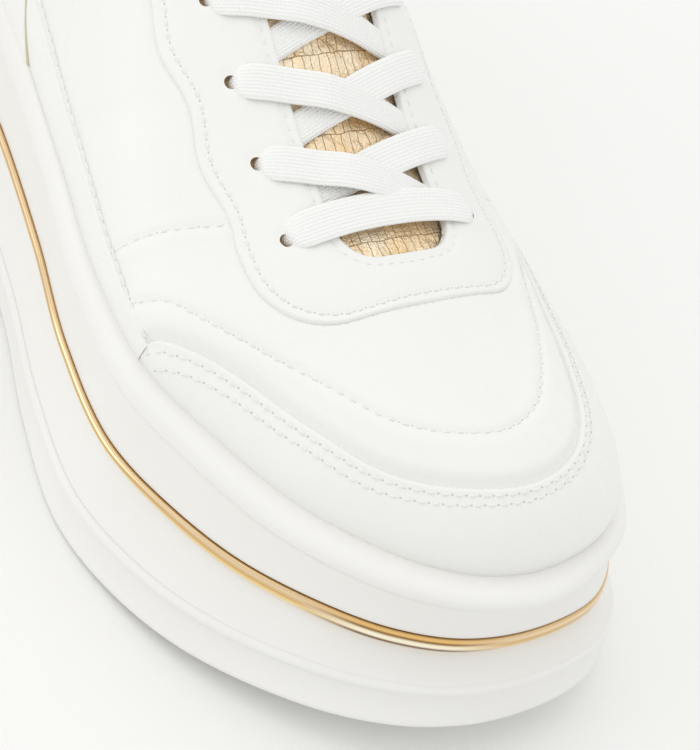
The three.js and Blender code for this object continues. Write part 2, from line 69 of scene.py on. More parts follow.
def hermite(rows, x):
    """Cubic Hermite curve through (x, value) rows, each slope taken from the two neighbours."""
    xs, vs = np.array(rows, float).T
    before = np.r_[0, np.arange(len(xs) - 1)]
    after = np.r_[np.arange(1, len(xs)), len(xs) - 1]
    slopes = (vs[after] - vs[before]) / (xs[after] - xs[before])
    at = np.clip(x, xs[0], xs[-1])
    k = np.clip(np.searchsorted(xs, at, side="right") - 1, 0, len(xs) - 2)
    span = xs[k + 1] - xs[k]
    t = (at - xs[k]) / span
    h00 = (1 + 2 * t) * (1 - t) ** 2
    h10 = t * (1 - t) ** 2
    h01 = t * t * (3 - 2 * t)
    h11 = t * t * (t - 1)
    return h00 * vs[k] + h01 * vs[k + 1] + span * (h10 * slopes[k] + h11 * slopes[k + 1])


def through(points, per_span=24, closed=False):
    """Centripetal Catmull-Rom curve through points: knots apart by the root of each chord."""
    p = np.asarray(points, float)
    if closed:
        p = np.concatenate([p[-1:], p, p[:2]])
    else:
        p = np.concatenate([[2 * p[0] - p[1]], p, [2 * p[-1] - p[-2]]])
    p0, p1, p2, p3 = (p[i : len(p) - 3 + i][:, None, :] for i in range(4))
    chords = (p1 - p0, p2 - p1, p3 - p2)
    gap = [np.sqrt(np.linalg.norm(chord, axis=-1, keepdims=True)) for chord in chords]
    t1, t2, t3 = gap[0], gap[0] + gap[1], gap[0] + gap[1] + gap[2]
    t = t1 + (t2 - t1) * np.linspace(0, 1, per_span, endpoint=False)[None, :, None]
    a1 = (t1 - t) / t1 * p0 + t / t1 * p1
    a2 = (t2 - t) / (t2 - t1) * p1 + (t - t1) / (t2 - t1) * p2
    a3 = (t3 - t) / (t3 - t2) * p2 + (t - t2) / (t3 - t2) * p3
    b1 = (t2 - t) / t2 * a1 + t / t2 * a2
    b2 = (t3 - t) / (t3 - t1) * a2 + (t - t1) / (t3 - t1) * a3
    curve = ((t2 - t) / (t2 - t1) * b1 + (t - t1) / (t2 - t1) * b2).reshape(-1, p.shape[1])
    return curve if closed else np.concatenate([curve, p[-2:-1]])


def run_along(line):
    """Length along a polyline at each of its points."""
    return np.r_[0, np.cumsum(np.linalg.norm(np.diff(line, axis=0), axis=1))]


def at_run(where, run, line):
    """Points of a polyline at lengths along it."""
    return np.stack([np.interp(where, run, column) for column in line.T], axis=-1)


def even(points, spacing=None, count=None, closed=False):
    """The same polyline with its points equally far apart along it."""
    p = np.asarray(points, float)
    if closed:
        p = np.concatenate([p, p[:1]])
    run = run_along(p)
    n = count if count else max(2, int(round(run[-1] / spacing)) + 1)
    return at_run(np.linspace(0, run[-1], n, endpoint=not closed), run, p)


def unit(vectors):
    """Vectors of length 1."""
    return vectors / np.maximum(np.linalg.norm(vectors, axis=-1, keepdims=True), 1e-12)


def circle(first, second, turn):
    """first cos(turn) + second sin(turn), on a new axis before the last."""
    return first[..., None, :] * np.cos(turn)[:, None] + second[..., None, :] * np.sin(turn)[:, None]


def swells(x, y, rows):
    """Sum of bell ridges, each with a centre, half length, half width, turn in degrees and height."""
    total = 0.0
    for at_x, at_y, length, width, turn, height in rows:
        c, s = math.cos(math.radians(turn)), math.sin(math.radians(turn))
        dx, dy = x - at_x, y - at_y
        total = total + height * bell(dx * c + dy * s, length) * bell(dy * c - dx * s, width)
    return total


def nearest(points, line):
    """Distance from each point to a polyline: the nearest vertex first, then the two segments at it."""
    distance = np.empty(len(points))
    for start in range(0, len(points), 20000):
        block = points[start : start + 20000]
        square = (block**2).sum(1)[:, None] + (line**2).sum(1)[None] - 2 * block @ line.T
        place = square.argmin(1)
        best = np.full(len(block), np.inf)
        for first in (place - 1, place):
            first = np.clip(first, 0, len(line) - 2)
            a, step = line[first], line[first + 1] - line[first]
            t = np.clip(((block - a) * step).sum(1) / (step**2).sum(1), 0, 1)
            best = np.minimum(best, np.linalg.norm(block - a - t[:, None] * step, axis=1))
        distance[start : start + 20000] = best
    return distance


# ---------------------------------------------------------------- sole outline and levels

LENGTH = 276.0
TIP_SHIFT = 5.7
OUTLINE = [  # share of the length, outer half width, inner half width
    (0.02, 15, 15), (0.06, 27, 27), (0.12, 34.5, 33.5), (0.19, 37.5, 35.5), (0.28, 39, 34.5),
    (0.38, 39.5, 33), (0.48, 41.6, 34), (0.58, 46.3, 38.5), (0.67, 52.4, 43.7), (0.75, 54.6, 48.3),
    (0.82, 50, 49.9), (0.88, 43.2, 48.2), (0.93, 33.3, 44), (0.965, 23, 36.9), (0.99, 10.3, 25.6),
]
SOLE_COUNT = 640
FLARE_START, FLARE_END = 140.0, 262.0
BALL_X, BALL_WIDTH = 226.0, 22.0
TOE_SPRING, SPRING_START = 11.0, 205.0
# Height at the toe, shares of the toe spring and of the wedge, inset from the outline at the side and at
# the toe, swell at the outer ball and extra inset at the inner toe.
FLOOR = dict(z=0.0, spring=0.85, wedge=0.0, side=1.6, toe=-2.2, ball=1.9, inner=-0.9)
BEAD = dict(z=8.3, spring=1.0, wedge=0.0, side=0.2, toe=-0.4, ball=1.8, inner=-0.6)
STRIP = dict(z=17.1, spring=1.0, wedge=0.5, side=0.5, toe=4.6, ball=0.4, inner=-0.2)
GROOVE = dict(z=28.0, spring=1.0, wedge=0.88, side=-1.6, toe=5.1, ball=-1.0, inner=3.4)
FEATHER = dict(z=30.9, spring=1.0, wedge=1.0, side=-0.1, toe=10.6, ball=-0.9, inner=1.1)
OUTSOLE_TOP, EDGE_ROUND = 1.4, 1.2
STRIP_DEPTH, STRIP_PROUD = 2.6, 1.05
GROOVE_HEIGHT = {"z": GROOVE["z"], "wedge": GROOVE["wedge"]}
ROUND = (False, True)


def outline_points():
    outer = [(a * LENGTH, -o) for a, o, _ in OUTLINE]
    inner = [(a * LENGTH, i) for a, _, i in reversed(OUTLINE)]
    return through([(0, 0), *outer, (LENGTH, TIP_SHIFT), *inner], 64, closed=True)


def outward(ring):
    """Unit normals of a closed plan outline that runs heel, outer side, toe, inner side."""
    along = np.roll(ring, -1, 0) - np.roll(ring, 1, 0)
    return unit(np.stack([along[:, 1], -along[:, 0]], axis=1))


def lift(x, wedge_share, spring_share=1.0):
    """Shares of the toe spring, 11 t^2 in front of x = 205, and of the wedge, which at back mm from the
    toe is 0.12 back - 0.00025 (back - 120)^2."""
    spring = TOE_SPRING * np.clip((x - SPRING_START) / (LENGTH - SPRING_START), 0, 1) ** 2
    back = LENGTH - x
    return spring_share * spring + wedge_share * (0.12 * back - 0.00025 * np.maximum(0, back - 120) ** 2)


def inset_at(level, plan):
    """How far a level lies inside the outline: side to toe by the flare, less the swell at the outer
    ball, plus the extra at the inner toe."""
    x, y = plan[:, 0], plan[:, 1]
    ball = bell(x - BALL_X, BALL_WIDTH) * (y < 0)
    inner_toe = smooth(x, 225, 262) * smooth(y, 0, 30)
    along = level["side"] + (level["toe"] - level["side"]) * smooth(x, FLARE_START, FLARE_END)
    return along - level["ball"] * ball + level["inner"] * inner_toe


def mixed(low, high, share):
    """A level part of the way from one level to another."""
    return {key: low[key] + (high[key] - low[key]) * share for key in low}


def level_ring(level, inward=0.0, up=0.0, base=None):
    """The outline moved in by the level's inset plus inward, at the level's height plus up."""
    plan, normal = base if base else (SOLE_PLAN, SOLE_NORMAL)
    moved = plan - normal * (inset_at(level, plan) + inward)[:, None]
    return np.column_stack([moved, level["z"] + lift(moved[:, 0], level["wedge"], level["spring"]) + up])


def strip_ring(inward, up, extra=0.0):
    """A ring at the strip: up goes from -1 at its lower edge to 1 at its upper edge. The half height
    grows from 0.9 at the side to 1.85 at the toe and 2.15 at the inner toe; the strip dips there."""
    ring = level_ring(STRIP, inward)
    x, y = ring[:, 0], ring[:, 1]
    inner_toe = smooth(x, 225, 262) * smooth(y, 0, 30)
    half = 0.9 + 0.95 * smooth(x, 205, 264) + 0.3 * inner_toe
    ring[:, 2] += up * half + extra - 0.7 * smooth(x, 245, 270) - 0.7 * inner_toe
    return ring


DENSE_PLAN = even(outline_points(), count=2600, closed=True)
SOLE_PLAN = even(DENSE_PLAN, count=SOLE_COUNT, closed=True)
DENSE_NORMAL, SOLE_NORMAL = outward(DENSE_PLAN), outward(SOLE_PLAN)

# ---------------------------------------------------------------- last: the form of the upper

RIDGE = [  # the line along the top: x, y, z
    (45, 0, 170), (80, 0, 156), (105, 0.5, 119), (125, 0.8, 101), (139, 0.8, 93), (153, 0.8, 85.5),
    (167, 0.7, 78), (181, 0.6, 71), (196, 0.6, 65.5), (210, 1, 62.5), (225, 2, 60.5),
    (238, 3.2, 59),
]
RIDGE_Y = [(x, y) for x, y, _ in RIDGE]
RIDGE_Z = [(x, z) for x, _, z in RIDGE]
RIDGE_FRONT, RIDGE_END = 190.0, 238.0
RIDGE_BACK, RIDGE_START = 90.0, 58.0
WALL = 2.0
GUARD_THICK, GUARD_SUNK, GUARD_BED = 0.75, 0.42, -0.7
SIDE_THICK, SIDE_SUNK = 0.6, 0.1
REAR_PROUD = 0.75

_ring = level_ring(FEATHER, base=(DENSE_PLAN, DENSE_NORMAL))
_ring = np.roll(_ring, -int(_ring[:, 0].argmin()), axis=0)
FEATHER_RING = np.concatenate([_ring, _ring[:1]])
RING_RUN = run_along(FEATHER_RING)
TIP_INDEX = int(FEATHER_RING[:, 0].argmax())
TIP_RUN = RING_RUN[TIP_INDEX]
FEATHER_FRONT = FEATHER_RING[TIP_INDEX, 0]


def foot_at(run):
    """Point of the feather line at a length along it from the heel, outer side first."""
    return at_run(np.mod(run, RING_RUN[-1]), RING_RUN, FEATHER_RING)


def run_at_x(x, side):
    """Length along the feather line where it passes x on the outer (-1) or the inner (1) side."""
    if side < 0:
        return np.interp(x, FEATHER_RING[: TIP_INDEX + 1, 0], RING_RUN[: TIP_INDEX + 1])
    return np.interp(-np.asarray(x, float), -FEATHER_RING[TIP_INDEX:, 0], RING_RUN[TIP_INDEX:])


def landing(x):
    """Where the section that starts at the feather line at x meets the ridge."""

    def ease(s, k):
        return s - (1 - k) * s * s * (2 - s)

    front = FEATHER_FRONT - RIDGE_FRONT
    ahead = RIDGE_FRONT + front * ease((x - RIDGE_FRONT) / front, (RIDGE_END - RIDGE_FRONT) / front)
    share = np.clip((RIDGE_BACK - x) / RIDGE_BACK, 0, 1)
    behind = RIDGE_BACK - RIDGE_BACK * ease(share, (RIDGE_BACK - RIDGE_START) / RIDGE_BACK)
    return np.where(x > RIDGE_FRONT, ahead, np.where(x < RIDGE_BACK, behind, x))


def ridge_at(x):
    return np.stack([x, hermite(RIDGE_Y, x), hermite(RIDGE_Z, x)], axis=-1)


def last_point(foot, inward):
    """Superellipse section: plan goes straight from foot to ridge by the share inward,
    height is foot + (ridge - foot) (1 - (1 - inward)^f)^(1/2) with fullness f."""
    top = ridge_at(landing(foot[..., 0]))
    x = foot[..., 0]
    fullness = 2.25 + 0.6 * (1 - smooth(x, 60, 140)) + 0.25 * smooth(x, 215, 260)
    rise = np.sqrt(np.clip(1 - (1 - np.clip(inward, 0, 1)) ** fullness, 0, 1))
    plan = foot[..., :2] + (top[..., :2] - foot[..., :2]) * inward[..., None]
    z = foot[..., 2] + (top[..., 2] - foot[..., 2]) * rise
    return np.concatenate([plan, z[..., None]], axis=-1)


def spread(q):
    """Row number to inward share: q^2 (2 - q), close together where the section starts upright."""
    return q * q * (2 - q)


_q = np.linspace(0, 1, 2001)


def unspread(inward):
    return np.interp(inward, spread(_q), _q)


def section_of(plan):
    """The section that passes over each plan point: its length along the feather line and the
    share inward. Found by halving, from the side of the foot-to-ridge line the point lies on."""
    x, y = plan[:, 0], plan[:, 1]
    tip, top = FEATHER_RING[TIP_INDEX], ridge_at(np.array(RIDGE_END))
    beyond = top[1] + (tip[1] - top[1]) * np.clip((x - top[0]) / (tip[0] - top[0]), 0, 1)
    outer = y < np.where(x > RIDGE_END, beyond, hermite(RIDGE_Y, x))
    low = np.where(outer, 0.0, TIP_RUN)
    high = np.where(outer, TIP_RUN, RING_RUN[-1])
    for _ in range(36):
        middle = (low + high) / 2
        foot = foot_at(middle)
        leg = ridge_at(landing(foot[:, 0]))[:, :2] - foot[:, :2]
        ahead = leg[:, 0] * (y - foot[:, 1]) - leg[:, 1] * (x - foot[:, 0]) < 0
        low = np.where(ahead, middle, low)
        high = np.where(ahead, high, middle)
    inward = ((plan - foot[:, :2]) * leg).sum(1) / (leg**2).sum(1)
    return middle, inward


def on_last(plan):
    """Points of the last over plan points, with the section and the share inward of each."""
    run, inward = section_of(plan)
    return last_point(foot_at(run), np.clip(inward, 0, 1)), run, inward


NORMAL_STEP = 0.15


def over(plan):
    """Points of the last over plan points, and its unit normals there from two small steps."""
    plan = np.asarray(plan, float)
    flat = plan.reshape(-1, 2)
    here = on_last(flat)[0]
    towards = np.where(flat[:, :1] > 200, -1.0, 1.0) * np.array([[NORMAL_STEP, 0.0]])
    across = np.where(flat[:, 1:] > 0, -1.0, 1.0) * np.array([[0.0, NORMAL_STEP]])
    normal = unit(np.cross(on_last(flat + towards)[0] - here, on_last(flat + across)[0] - here))
    normal *= np.sign(normal[:, 2:3])
    shape = plan.shape[:-1] + (3,)
    return here.reshape(shape), normal.reshape(shape)


def grid_normals(points, around=False):
    """Unit normals of a grid of points from its two differences."""
    if around:
        du = np.roll(points, -1, 0) - np.roll(points, 1, 0)
    else:
        du = np.gradient(points, axis=0)
    dv = np.gradient(points, axis=1)
    return unit(np.cross(du, dv))


# ---------------------------------------------------------------- mesh making


def grid_faces(rows, columns, close_rows=False, close_columns=False):
    """Quads of a rows by columns grid of vertices, numbered row by row."""
    r = np.arange(rows if close_rows else rows - 1)
    c = np.arange(columns if close_columns else columns - 1)
    r, c = (m.ravel() for m in np.meshgrid(r, c, indexing="ij"))
    r1, c1 = (r + 1) % rows, (c + 1) % columns
    return np.stack([r * columns + c, r * columns + c1, r1 * columns + c1, r1 * columns + c], axis=1)


def face_outwards(points, faces, axis_height):
    """Turns all faces over if they point, on the whole, towards the line y = 0 at that height."""
    a, b, d = (points[faces[:, k]] for k in (0, 1, 3))
    normal = np.cross(b - a, d - a)
    away = points[faces].mean(1) - np.array([0, 0, axis_height])
    away[:, 0] = 0
    return faces if (normal * away).sum() > 0 else faces[:, ::-1]


def solid_outwards(points, faces):
    """Turns all faces over if the closed shape would have a negative volume."""
    p = points - points.mean(0)
    a, b, c, d = (p[faces[:, k]] for k in range(4))
    volume = (a * np.cross(b, c)).sum() + (a * np.cross(c, d)).sum()
    return faces if volume > 0 else faces[:, ::-1]


def put(name, data):
    """A new object in the scene."""
    item = bpy.data.objects.new(name, data)
    bpy.context.scene.collection.objects.link(item)
    return item


def add_piece(name, points, faces, material, slot, stands_for=(), uv=None, weld=False):
    """A smooth-shaded mesh piece that rides on the shoe's one body."""
    mesh = bpy.data.meshes.new(name)
    mesh.from_pydata(to_frame(points).tolist(), [], np.asarray(faces).tolist())
    if uv is not None:
        layer = mesh.uv_layers.new(name="along")
        corner = np.empty(len(mesh.loops), int)
        mesh.loops.foreach_get("vertex_index", corner)
        layer.data.foreach_set("uv", np.asarray(uv, float).reshape(-1, 2)[corner].ravel())
    mesh.polygons.foreach_set("use_smooth", np.ones(len(mesh.polygons), bool))
    mesh.materials.append(material)
    mesh.validate()
    mesh.update()
    piece = put(name, mesh)
    if weld:
        merge_close(mesh)
    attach(piece, "root")
    if stands_for:
        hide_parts(*stands_for)
    return piece


def add_grid(name, grid, material, slot, axis_height=25.0, stands_for=(), loop=(False, False), **more):
    """A rows by columns grid of points as one piece that faces away from the line y = 0 at that
    height. loop says whether the rows and the columns close up; with uv, weld, solid or inwards."""
    points = grid.reshape(-1, 3)
    faces = grid_faces(*grid.shape[:2], *loop)
    if more.pop("solid", False):
        faces = solid_outwards(points, faces)
    else:
        faces = face_outwards(points, faces, axis_height)
    if more.pop("inwards", False):
        faces = faces[:, ::-1]
    return add_piece(name, points, faces, material, slot, stands_for, **more)


def merge_close(mesh, distance=0.00002):
    """Joins vertices that lie on one another."""
    work = bmesh.new()
    work.from_mesh(mesh)
    bmesh.ops.remove_doubles(work, verts=work.verts, dist=distance)
    work.to_mesh(mesh)
    work.free()


def join_copies(points, faces, count):
    """Face numbers for count copies of one small shape laid one after another."""
    shift = np.arange(count)[:, None, None] * points
    return (faces[None] + shift).reshape(-1, faces.shape[1])


# ---------------------------------------------------------------- materials


def new_material(name, colour, roughness, metallic=0.0):
    material = bpy.data.materials.new(name)
    material.use_nodes = True
    shader = material.node_tree.nodes["Principled BSDF"]
    shader.inputs["Base Color"].default_value = (*colour, 1)
    shader.inputs["Roughness"].default_value = roughness
    shader.inputs["Metallic"].default_value = metallic
    return material, material.node_tree, shader


def feed(tree, value, socket):
    """Links an output to a socket, or sets the socket to a number or a colour."""
    if isinstance(value, bpy.types.NodeSocket):
        tree.links.new(value, socket)
    else:
        socket.default_value = value


def maths(tree, operation, first, second):
    """A math node on two outputs or numbers."""
    node = tree.nodes.new("ShaderNodeMath")
    node.operation = operation
    feed(tree, first, node.inputs[0])
    feed(tree, second, node.inputs[1])
    return node.outputs[0]


def mixed_colour(tree, blend, share, first, second):
    """A mix node on outputs, numbers or colours."""
    node = tree.nodes.new("ShaderNodeMixRGB")
    node.blend_type = blend
    for value, socket in zip((share, first, second), node.inputs):
        feed(tree, value, socket)
    return node.outputs["Color"]


def texture(tree, kind, scale, source="Object", **settings):
    """A texture node on Object coordinates or on the piece's own UV map."""
    place = tree.nodes.new("ShaderNodeTexCoord")
    node = tree.nodes.new(kind)
    tree.links.new(place.outputs[source], node.inputs["Vector"])
    node.inputs["Scale"].default_value = scale
    for key, value in settings.items():
        node.inputs[key].default_value = value
    return node


def noise(tree, scale, detail, source="Object"):
    return texture(tree, "ShaderNodeTexNoise", scale, source, Detail=detail).outputs["Fac"]


def ramp(tree, value, stops):
    """A colour ramp fed by value; stops are (place, colour) pairs."""
    node = tree.nodes.new("ShaderNodeValToRGB")
    tree.links.new(value, node.inputs["Fac"])
    elements = node.color_ramp.elements
    while len(elements) < len(stops):
        elements.new(0.5)
    for element, (place, colour) in zip(elements, stops):
        element.position = place
        element.color = (*colour, 1)
    return node.outputs["Color"]


def tint(tree, shader, value, low, high, start=0.3, end=0.7):
    """Base colour from low to high as value goes from start to end."""
    tree.links.new(ramp(tree, value, [(start, low), (end, high)]), shader.inputs["Base Color"])


def bump(tree, shader, height, distance):
    """Feeds a height to a bump node on the shader."""
    node = tree.nodes.new("ShaderNodeBump")
    node.inputs["Distance"].default_value = distance
    tree.links.new(height, node.inputs["Height"])
    tree.links.new(node.outputs["Normal"], shader.inputs["Normal"])


def leather_material():
    """Smooth finished white leather: faint cloudy tone, fine grain, soft sheen."""
    material, tree, shader = new_material("white_leather", (0.88, 0.88, 0.86), 0.42)
    tint(tree, shader, noise(tree, 18, 3.0), (0.878, 0.876, 0.852), (0.896, 0.895, 0.876))
    grain = texture(tree, "ShaderNodeTexVoronoi", 1700).outputs["Distance"]
    pores = noise(tree, 520, 4.0)
    bump(tree, shader, maths(tree, "ADD", maths(tree, "MULTIPLY", grain, 0.4), pores), 0.00006)
    shader.inputs["Specular IOR Level"].default_value = 0.45
    shader.inputs["Subsurface Weight"].default_value = 0.05
    shader.inputs["Subsurface Radius"].default_value = (0.002, 0.0018, 0.0015)
    return material


def sole_material():
    """Moulded white sole compound: satin, a trace of mould texture."""
    material, tree, shader = new_material("white_sole", (0.84, 0.83, 0.80), 0.48)
    tint(tree, shader, noise(tree, 22, 2.0), (0.868, 0.86, 0.835), (0.885, 0.88, 0.86))
    bump(tree, shader, noise(tree, 900, 2.0), 0.00003)
    shader.inputs["Specular IOR Level"].default_value = 0.4
    return material


def waves(tree, period, direction):
    """Sine bands 0..1 on the piece's own UV, one every period millimetres."""
    node = texture(tree, "ShaderNodeTexWave", 2 * math.pi / 20 / period, source="UV", Distortion=0.0)
    node.wave_type = "BANDS"
    node.bands_direction = direction
    return node.outputs["Fac"]


def gold_material():
    """Polished gold film on the trim strip, its reflections painted into the colour by height on the strip:
    painted tan and rose reflection on its upper flank, yellow with a pale painted highlight on its lower,
    and livelier painted bands of dark reflection and cream highlight on the stretch of its run round the
    toe."""
    material, tree, shader = new_material("polished_gold", (0.95, 0.70, 0.34), 0.16, 1.0)
    place = tree.nodes.new("ShaderNodeTexCoord")
    parts = tree.nodes.new("ShaderNodeSeparateXYZ")
    tree.links.new(place.outputs["UV"], parts.inputs["Vector"])
    # Painted reflection colours: tan and rose stand for reflected dark surroundings, yellow for the
    # reflected bright floor, pale and cream are painted highlights, brown is a painted dark reflection
    # band.
    rose, tan, yellow, pale_highlight = (0.90, 0.71, 0.47), (0.66, 0.43, 0.19), (1.0, 0.74, 0.35), (1.0, 0.90, 0.66)
    orange, dark_reflection, cream_highlight = (0.95, 0.60, 0.22), (0.24, 0.12, 0.04), (1.0, 0.95, 0.80)
    black, white = (0, 0, 0), (1, 1, 1)
    # Painted reflection bands up the strip along the sides.
    plain = [(0.0, yellow), (0.25, pale_highlight), (0.45, yellow), (0.58, tan), (0.75, rose), (1.0, tan)]
    # Painted reflection bands up the strip round the toe: dark reflection bands and a cream painted
    # highlight.
    toe_reflection_stops = [(0.0, yellow), (0.14, orange), (0.26, dark_reflection), (0.4, dark_reflection), (0.48, cream_highlight)]
    toe_reflection_stops += [(0.6, pale_highlight), (0.7, dark_reflection), (0.8, orange), (1.0, tan)]
    # Mask along the strip that picks the toe's painted reflection bands.
    toe = [(0.425, black), (0.445, white), (0.475, white), (0.495, black)]
    side_painted_reflection, toe_painted_reflection = ramp(tree, parts.outputs["Y"], plain), ramp(tree, parts.outputs["Y"], toe_reflection_stops)
    # tone here is the painted reflection colour of the gold.
    tone = mixed_colour(tree, "MIX", ramp(tree, parts.outputs["X"], toe), side_painted_reflection, toe_painted_reflection)
    tree.links.new(tone, shader.inputs["Base Color"])
    bump(tree, shader, noise(tree, 60, 2.0), 0.0001)
    return material


def tongue_material():
    """Champagne gold foil leather embossed with long narrow scales, on the tongue's own UV in
    millimetres: rows 7 mm long split into cells 2 mm wide, their joints bent by noise."""
    material, tree, shader = new_material("gold_leather", (0.98, 0.80, 0.54), 0.22, 0.65)
    tone = ramp(tree, noise(tree, 140, 4.0), [(0.3, (0.95, 0.69, 0.38)), (0.7, (1.0, 0.89, 0.70))])
    bend = texture(tree, "ShaderNodeTexNoise", 0.2, source="UV", Detail=1.0)
    place = tree.nodes.new("ShaderNodeTexCoord")
    stretch = tree.nodes.new("ShaderNodeVectorMath")
    stretch.operation = "SCALE"
    stretch.inputs["Scale"].default_value = 1.5
    tree.links.new(bend.outputs["Color"], stretch.inputs[0])
    bricks = tree.nodes.new("ShaderNodeTexBrick")
    bent = mixed_colour(tree, "ADD", 1.0, place.outputs["UV"], stretch.outputs["Vector"])
    tree.links.new(bent, bricks.inputs["Vector"])
    sizes = {"Scale": 1.0, "Mortar Size": 0.1, "Mortar Smooth": 0.8, "Brick Width": 2.0, "Row Height": 7.0}
    for key, value in sizes.items():
        bricks.inputs[key].default_value = value
    joint = bricks.outputs["Fac"]
    dark = mixed_colour(tree, "MULTIPLY", maths(tree, "MULTIPLY", joint, 0.75), tone, (0.78, 0.56, 0.34, 1))
    tree.links.new(dark, shader.inputs["Base Color"])
    crinkle = noise(tree, 1.6, 5.0, "UV")
    bump(tree, shader, maths(tree, "ADD", maths(tree, "MULTIPLY", joint, -0.8), crinkle), 0.0003)
    return material


LACE_RIB_PITCH = 0.71


def cotton_material():
    """Flat woven lace: picks that alternate from rib to rib, on the lace's own UV in millimetres."""
    material, tree, shader = new_material("white_cotton", (0.89, 0.89, 0.88), 0.9)
    pick = maths(tree, "SUBTRACT", waves(tree, 0.62, "X"), 0.5)
    rib = maths(tree, "SUBTRACT", waves(tree, 2 * LACE_RIB_PITCH, "Y"), 0.5)
    weave = maths(tree, "MULTIPLY", maths(tree, "MULTIPLY", pick, rib), 1.6)
    fuzz = noise(tree, 4.5, 3.0, "UV")
    tint(tree, shader, fuzz, (0.91, 0.91, 0.89), (0.94, 0.94, 0.93), 0.25, 0.6)
    bump(tree, shader, maths(tree, "ADD", weave, maths(tree, "MULTIPLY", fuzz, 0.4)), 0.0001)
    shader.inputs["Sheen Weight"].default_value = 0.2
    shader.inputs["Specular IOR Level"].default_value = 0.2
    return material


def thread_material():
    material, tree, shader = new_material("white_thread", (0.88, 0.88, 0.86), 0.7)
    bump(tree, shader, noise(tree, 2600, 1.0), 0.00008)
    return material


def plain_material(name, colour, roughness, scale, depth):
    """Plain stuff with a fine uneven surface."""
    material, tree, shader = new_material(name, colour, roughness)
    skin = noise(tree, scale, 3.0)
    tint(tree, shader, skin, tuple(0.93 * c for c in colour), colour)
    bump(tree, shader, skin, depth)
    return material


LEATHER = leather_material()
SOLE = sole_material()
GOLD = gold_material()
TONGUE_SKIN = tongue_material()
COTTON = cotton_material()
THREAD = thread_material()
# Needle holes: a grey painted as the shade inside each hole.
NEEDLE_SHADE = plain_material("needle_hole_painted_shade", (0.70, 0.69, 0.62), 0.9, 900, 0.00005)
HOLE = plain_material("punched_edge", (0.36, 0.24, 0.13), 0.9, 700, 0.0001)
LINING = plain_material("lining_cloth", (0.80, 0.78, 0.74), 0.95, 1400, 0.0002)
PIPING = plain_material("khaki_piping", (0.62, 0.56, 0.39), 0.5, 500, 0.0001)

# ---------------------------------------------------------------- seams drawn on the last

THROAT = dict(front=205.9, back=110.5, half=12.6, centre=-0.6, corner=7.0)
EYESTAY_FRONT, EYESTAY_BACK, EYESTAY_HALF = 216.9, 103.0, 31.5
EYESTAY_CENTRE, EYESTAY_CORNER = -0.9, 15.0
GUARD_EDGE = [
    (199, -58), (202, -49), (208, -44.5), (218, -38.4), (231, -31.6), (243, -23.6), (251, -13.5),
    (255.3, 0), (252.6, 12), (245, 19.8), (231, 26), (214, 30.5), (199, 36), (190, 44), (188, 54),
]
TOE_LINE = [
    (195.5, -48), (199.5, -44.5), (205, -41.5), (213.5, -36), (225, -28), (236.5, -19.5),
    (242.5, -10.5), (245, 0), (241.5, 9.5), (236, 14.5), (225, 21.5), (214, 26.5), (205, 31.5),
    (198, 38), (194, 43),
]
CROSS_SEAM = [(193, -30), (190.5, -36), (187.5, -42), (185, -47), (184.3, -48.2)]
BRANCH_SEAM = [(145.5, -42.2), (141, -40.6), (137, -38.9), (131, -35.5)]
PIPING_RISE = [  # x, height over the feather line
    (88, 62), (97, 49), (105, 37.5), (112, 27), (117, 19.5), (121, 14), (126, 8.3), (131.7, 3.4),
    (136, 0.6),
]
COLLAR = [  # x, z
    (-15, 120), (5, 118), (25, 110), (48, 101), (70, 97.5), (90, 99), (103, 103.5), (110, 110),
    (114, 122),
]
COLLAR_LINE = through(COLLAR, 40)
SIDE_SEAM_HEIGHT = [  # x, height over the feather line
    (40, 22), (80, 16), (110, 11.5), (130, 10), (153, 8), (180, 6.7), (201, 4.5), (206, 3.5),
]


EYELETS = dict(rows=6, first=198.7, pitch=14.9, half=21.6, widen=0.35, centre=-1.8, radius=1.32)
EYESTAY_THICK, EYESTAY_BED = 1.35, 0.95
EYESTAY_FACE = EYESTAY_THICK - EYESTAY_BED


def eyelet_plan(row, side):
    """Plan place of an eyelet: rows go back by the pitch and widen a little."""
    centre = EYELETS["centre"] * (1 - row / EYELETS["rows"])
    apart = EYELETS["half"] + row * EYELETS["widen"]
    return np.array([EYELETS["first"] - row * EYELETS["pitch"], centre + side * apart])


def slot_edge(t, front, half, corner, back):
    """Plan line of a slot about y = 0 for t in 0..3: outer straight, front with two round corners,
    inner straight."""
    bend = front - corner
    width = 2 * (half - corner)
    arc = corner * math.pi / 2
    s = np.clip(t - 1, 0, 1) * (2 * arc + width)
    first = np.clip(s / arc, 0, 1) * math.pi / 2
    last = np.clip((s - arc - width) / arc, 0, 1) * math.pi / 2
    front_x = bend + corner * np.where(s < arc, np.sin(first), np.where(s > arc + width, np.cos(last), 1))
    flat_y = np.clip(s - arc, 0, width) - half + corner
    front_y = np.where(s < arc, -half + corner * (1 - np.cos(first)), flat_y)
    front_y = np.where(s > arc + width, half - corner + corner * np.sin(last), front_y)
    outer_x = back + (bend - back) * np.clip(t, 0, 1)
    inner_x = bend + (back - bend) * np.clip(t - 2, 0, 1)
    x = np.where(t < 1, outer_x, np.where(t > 2, inner_x, front_x))
    y = np.where(t < 1, -half, np.where(t > 2, half, front_y))
    return x, y


def throat_edge(t):
    """Plan line of the throat edge, the outer side first."""
    x, y = slot_edge(t, THROAT["front"], THROAT["half"], THROAT["corner"], THROAT["back"])
    return np.stack([x, THROAT["centre"] + y], axis=-1)


def trimmed(y):
    """The eyestay's inner half is cut narrower than its outer half, by 8.5 % at the edge."""
    return y * (1 - 0.085 * smooth(y, 6, 26))


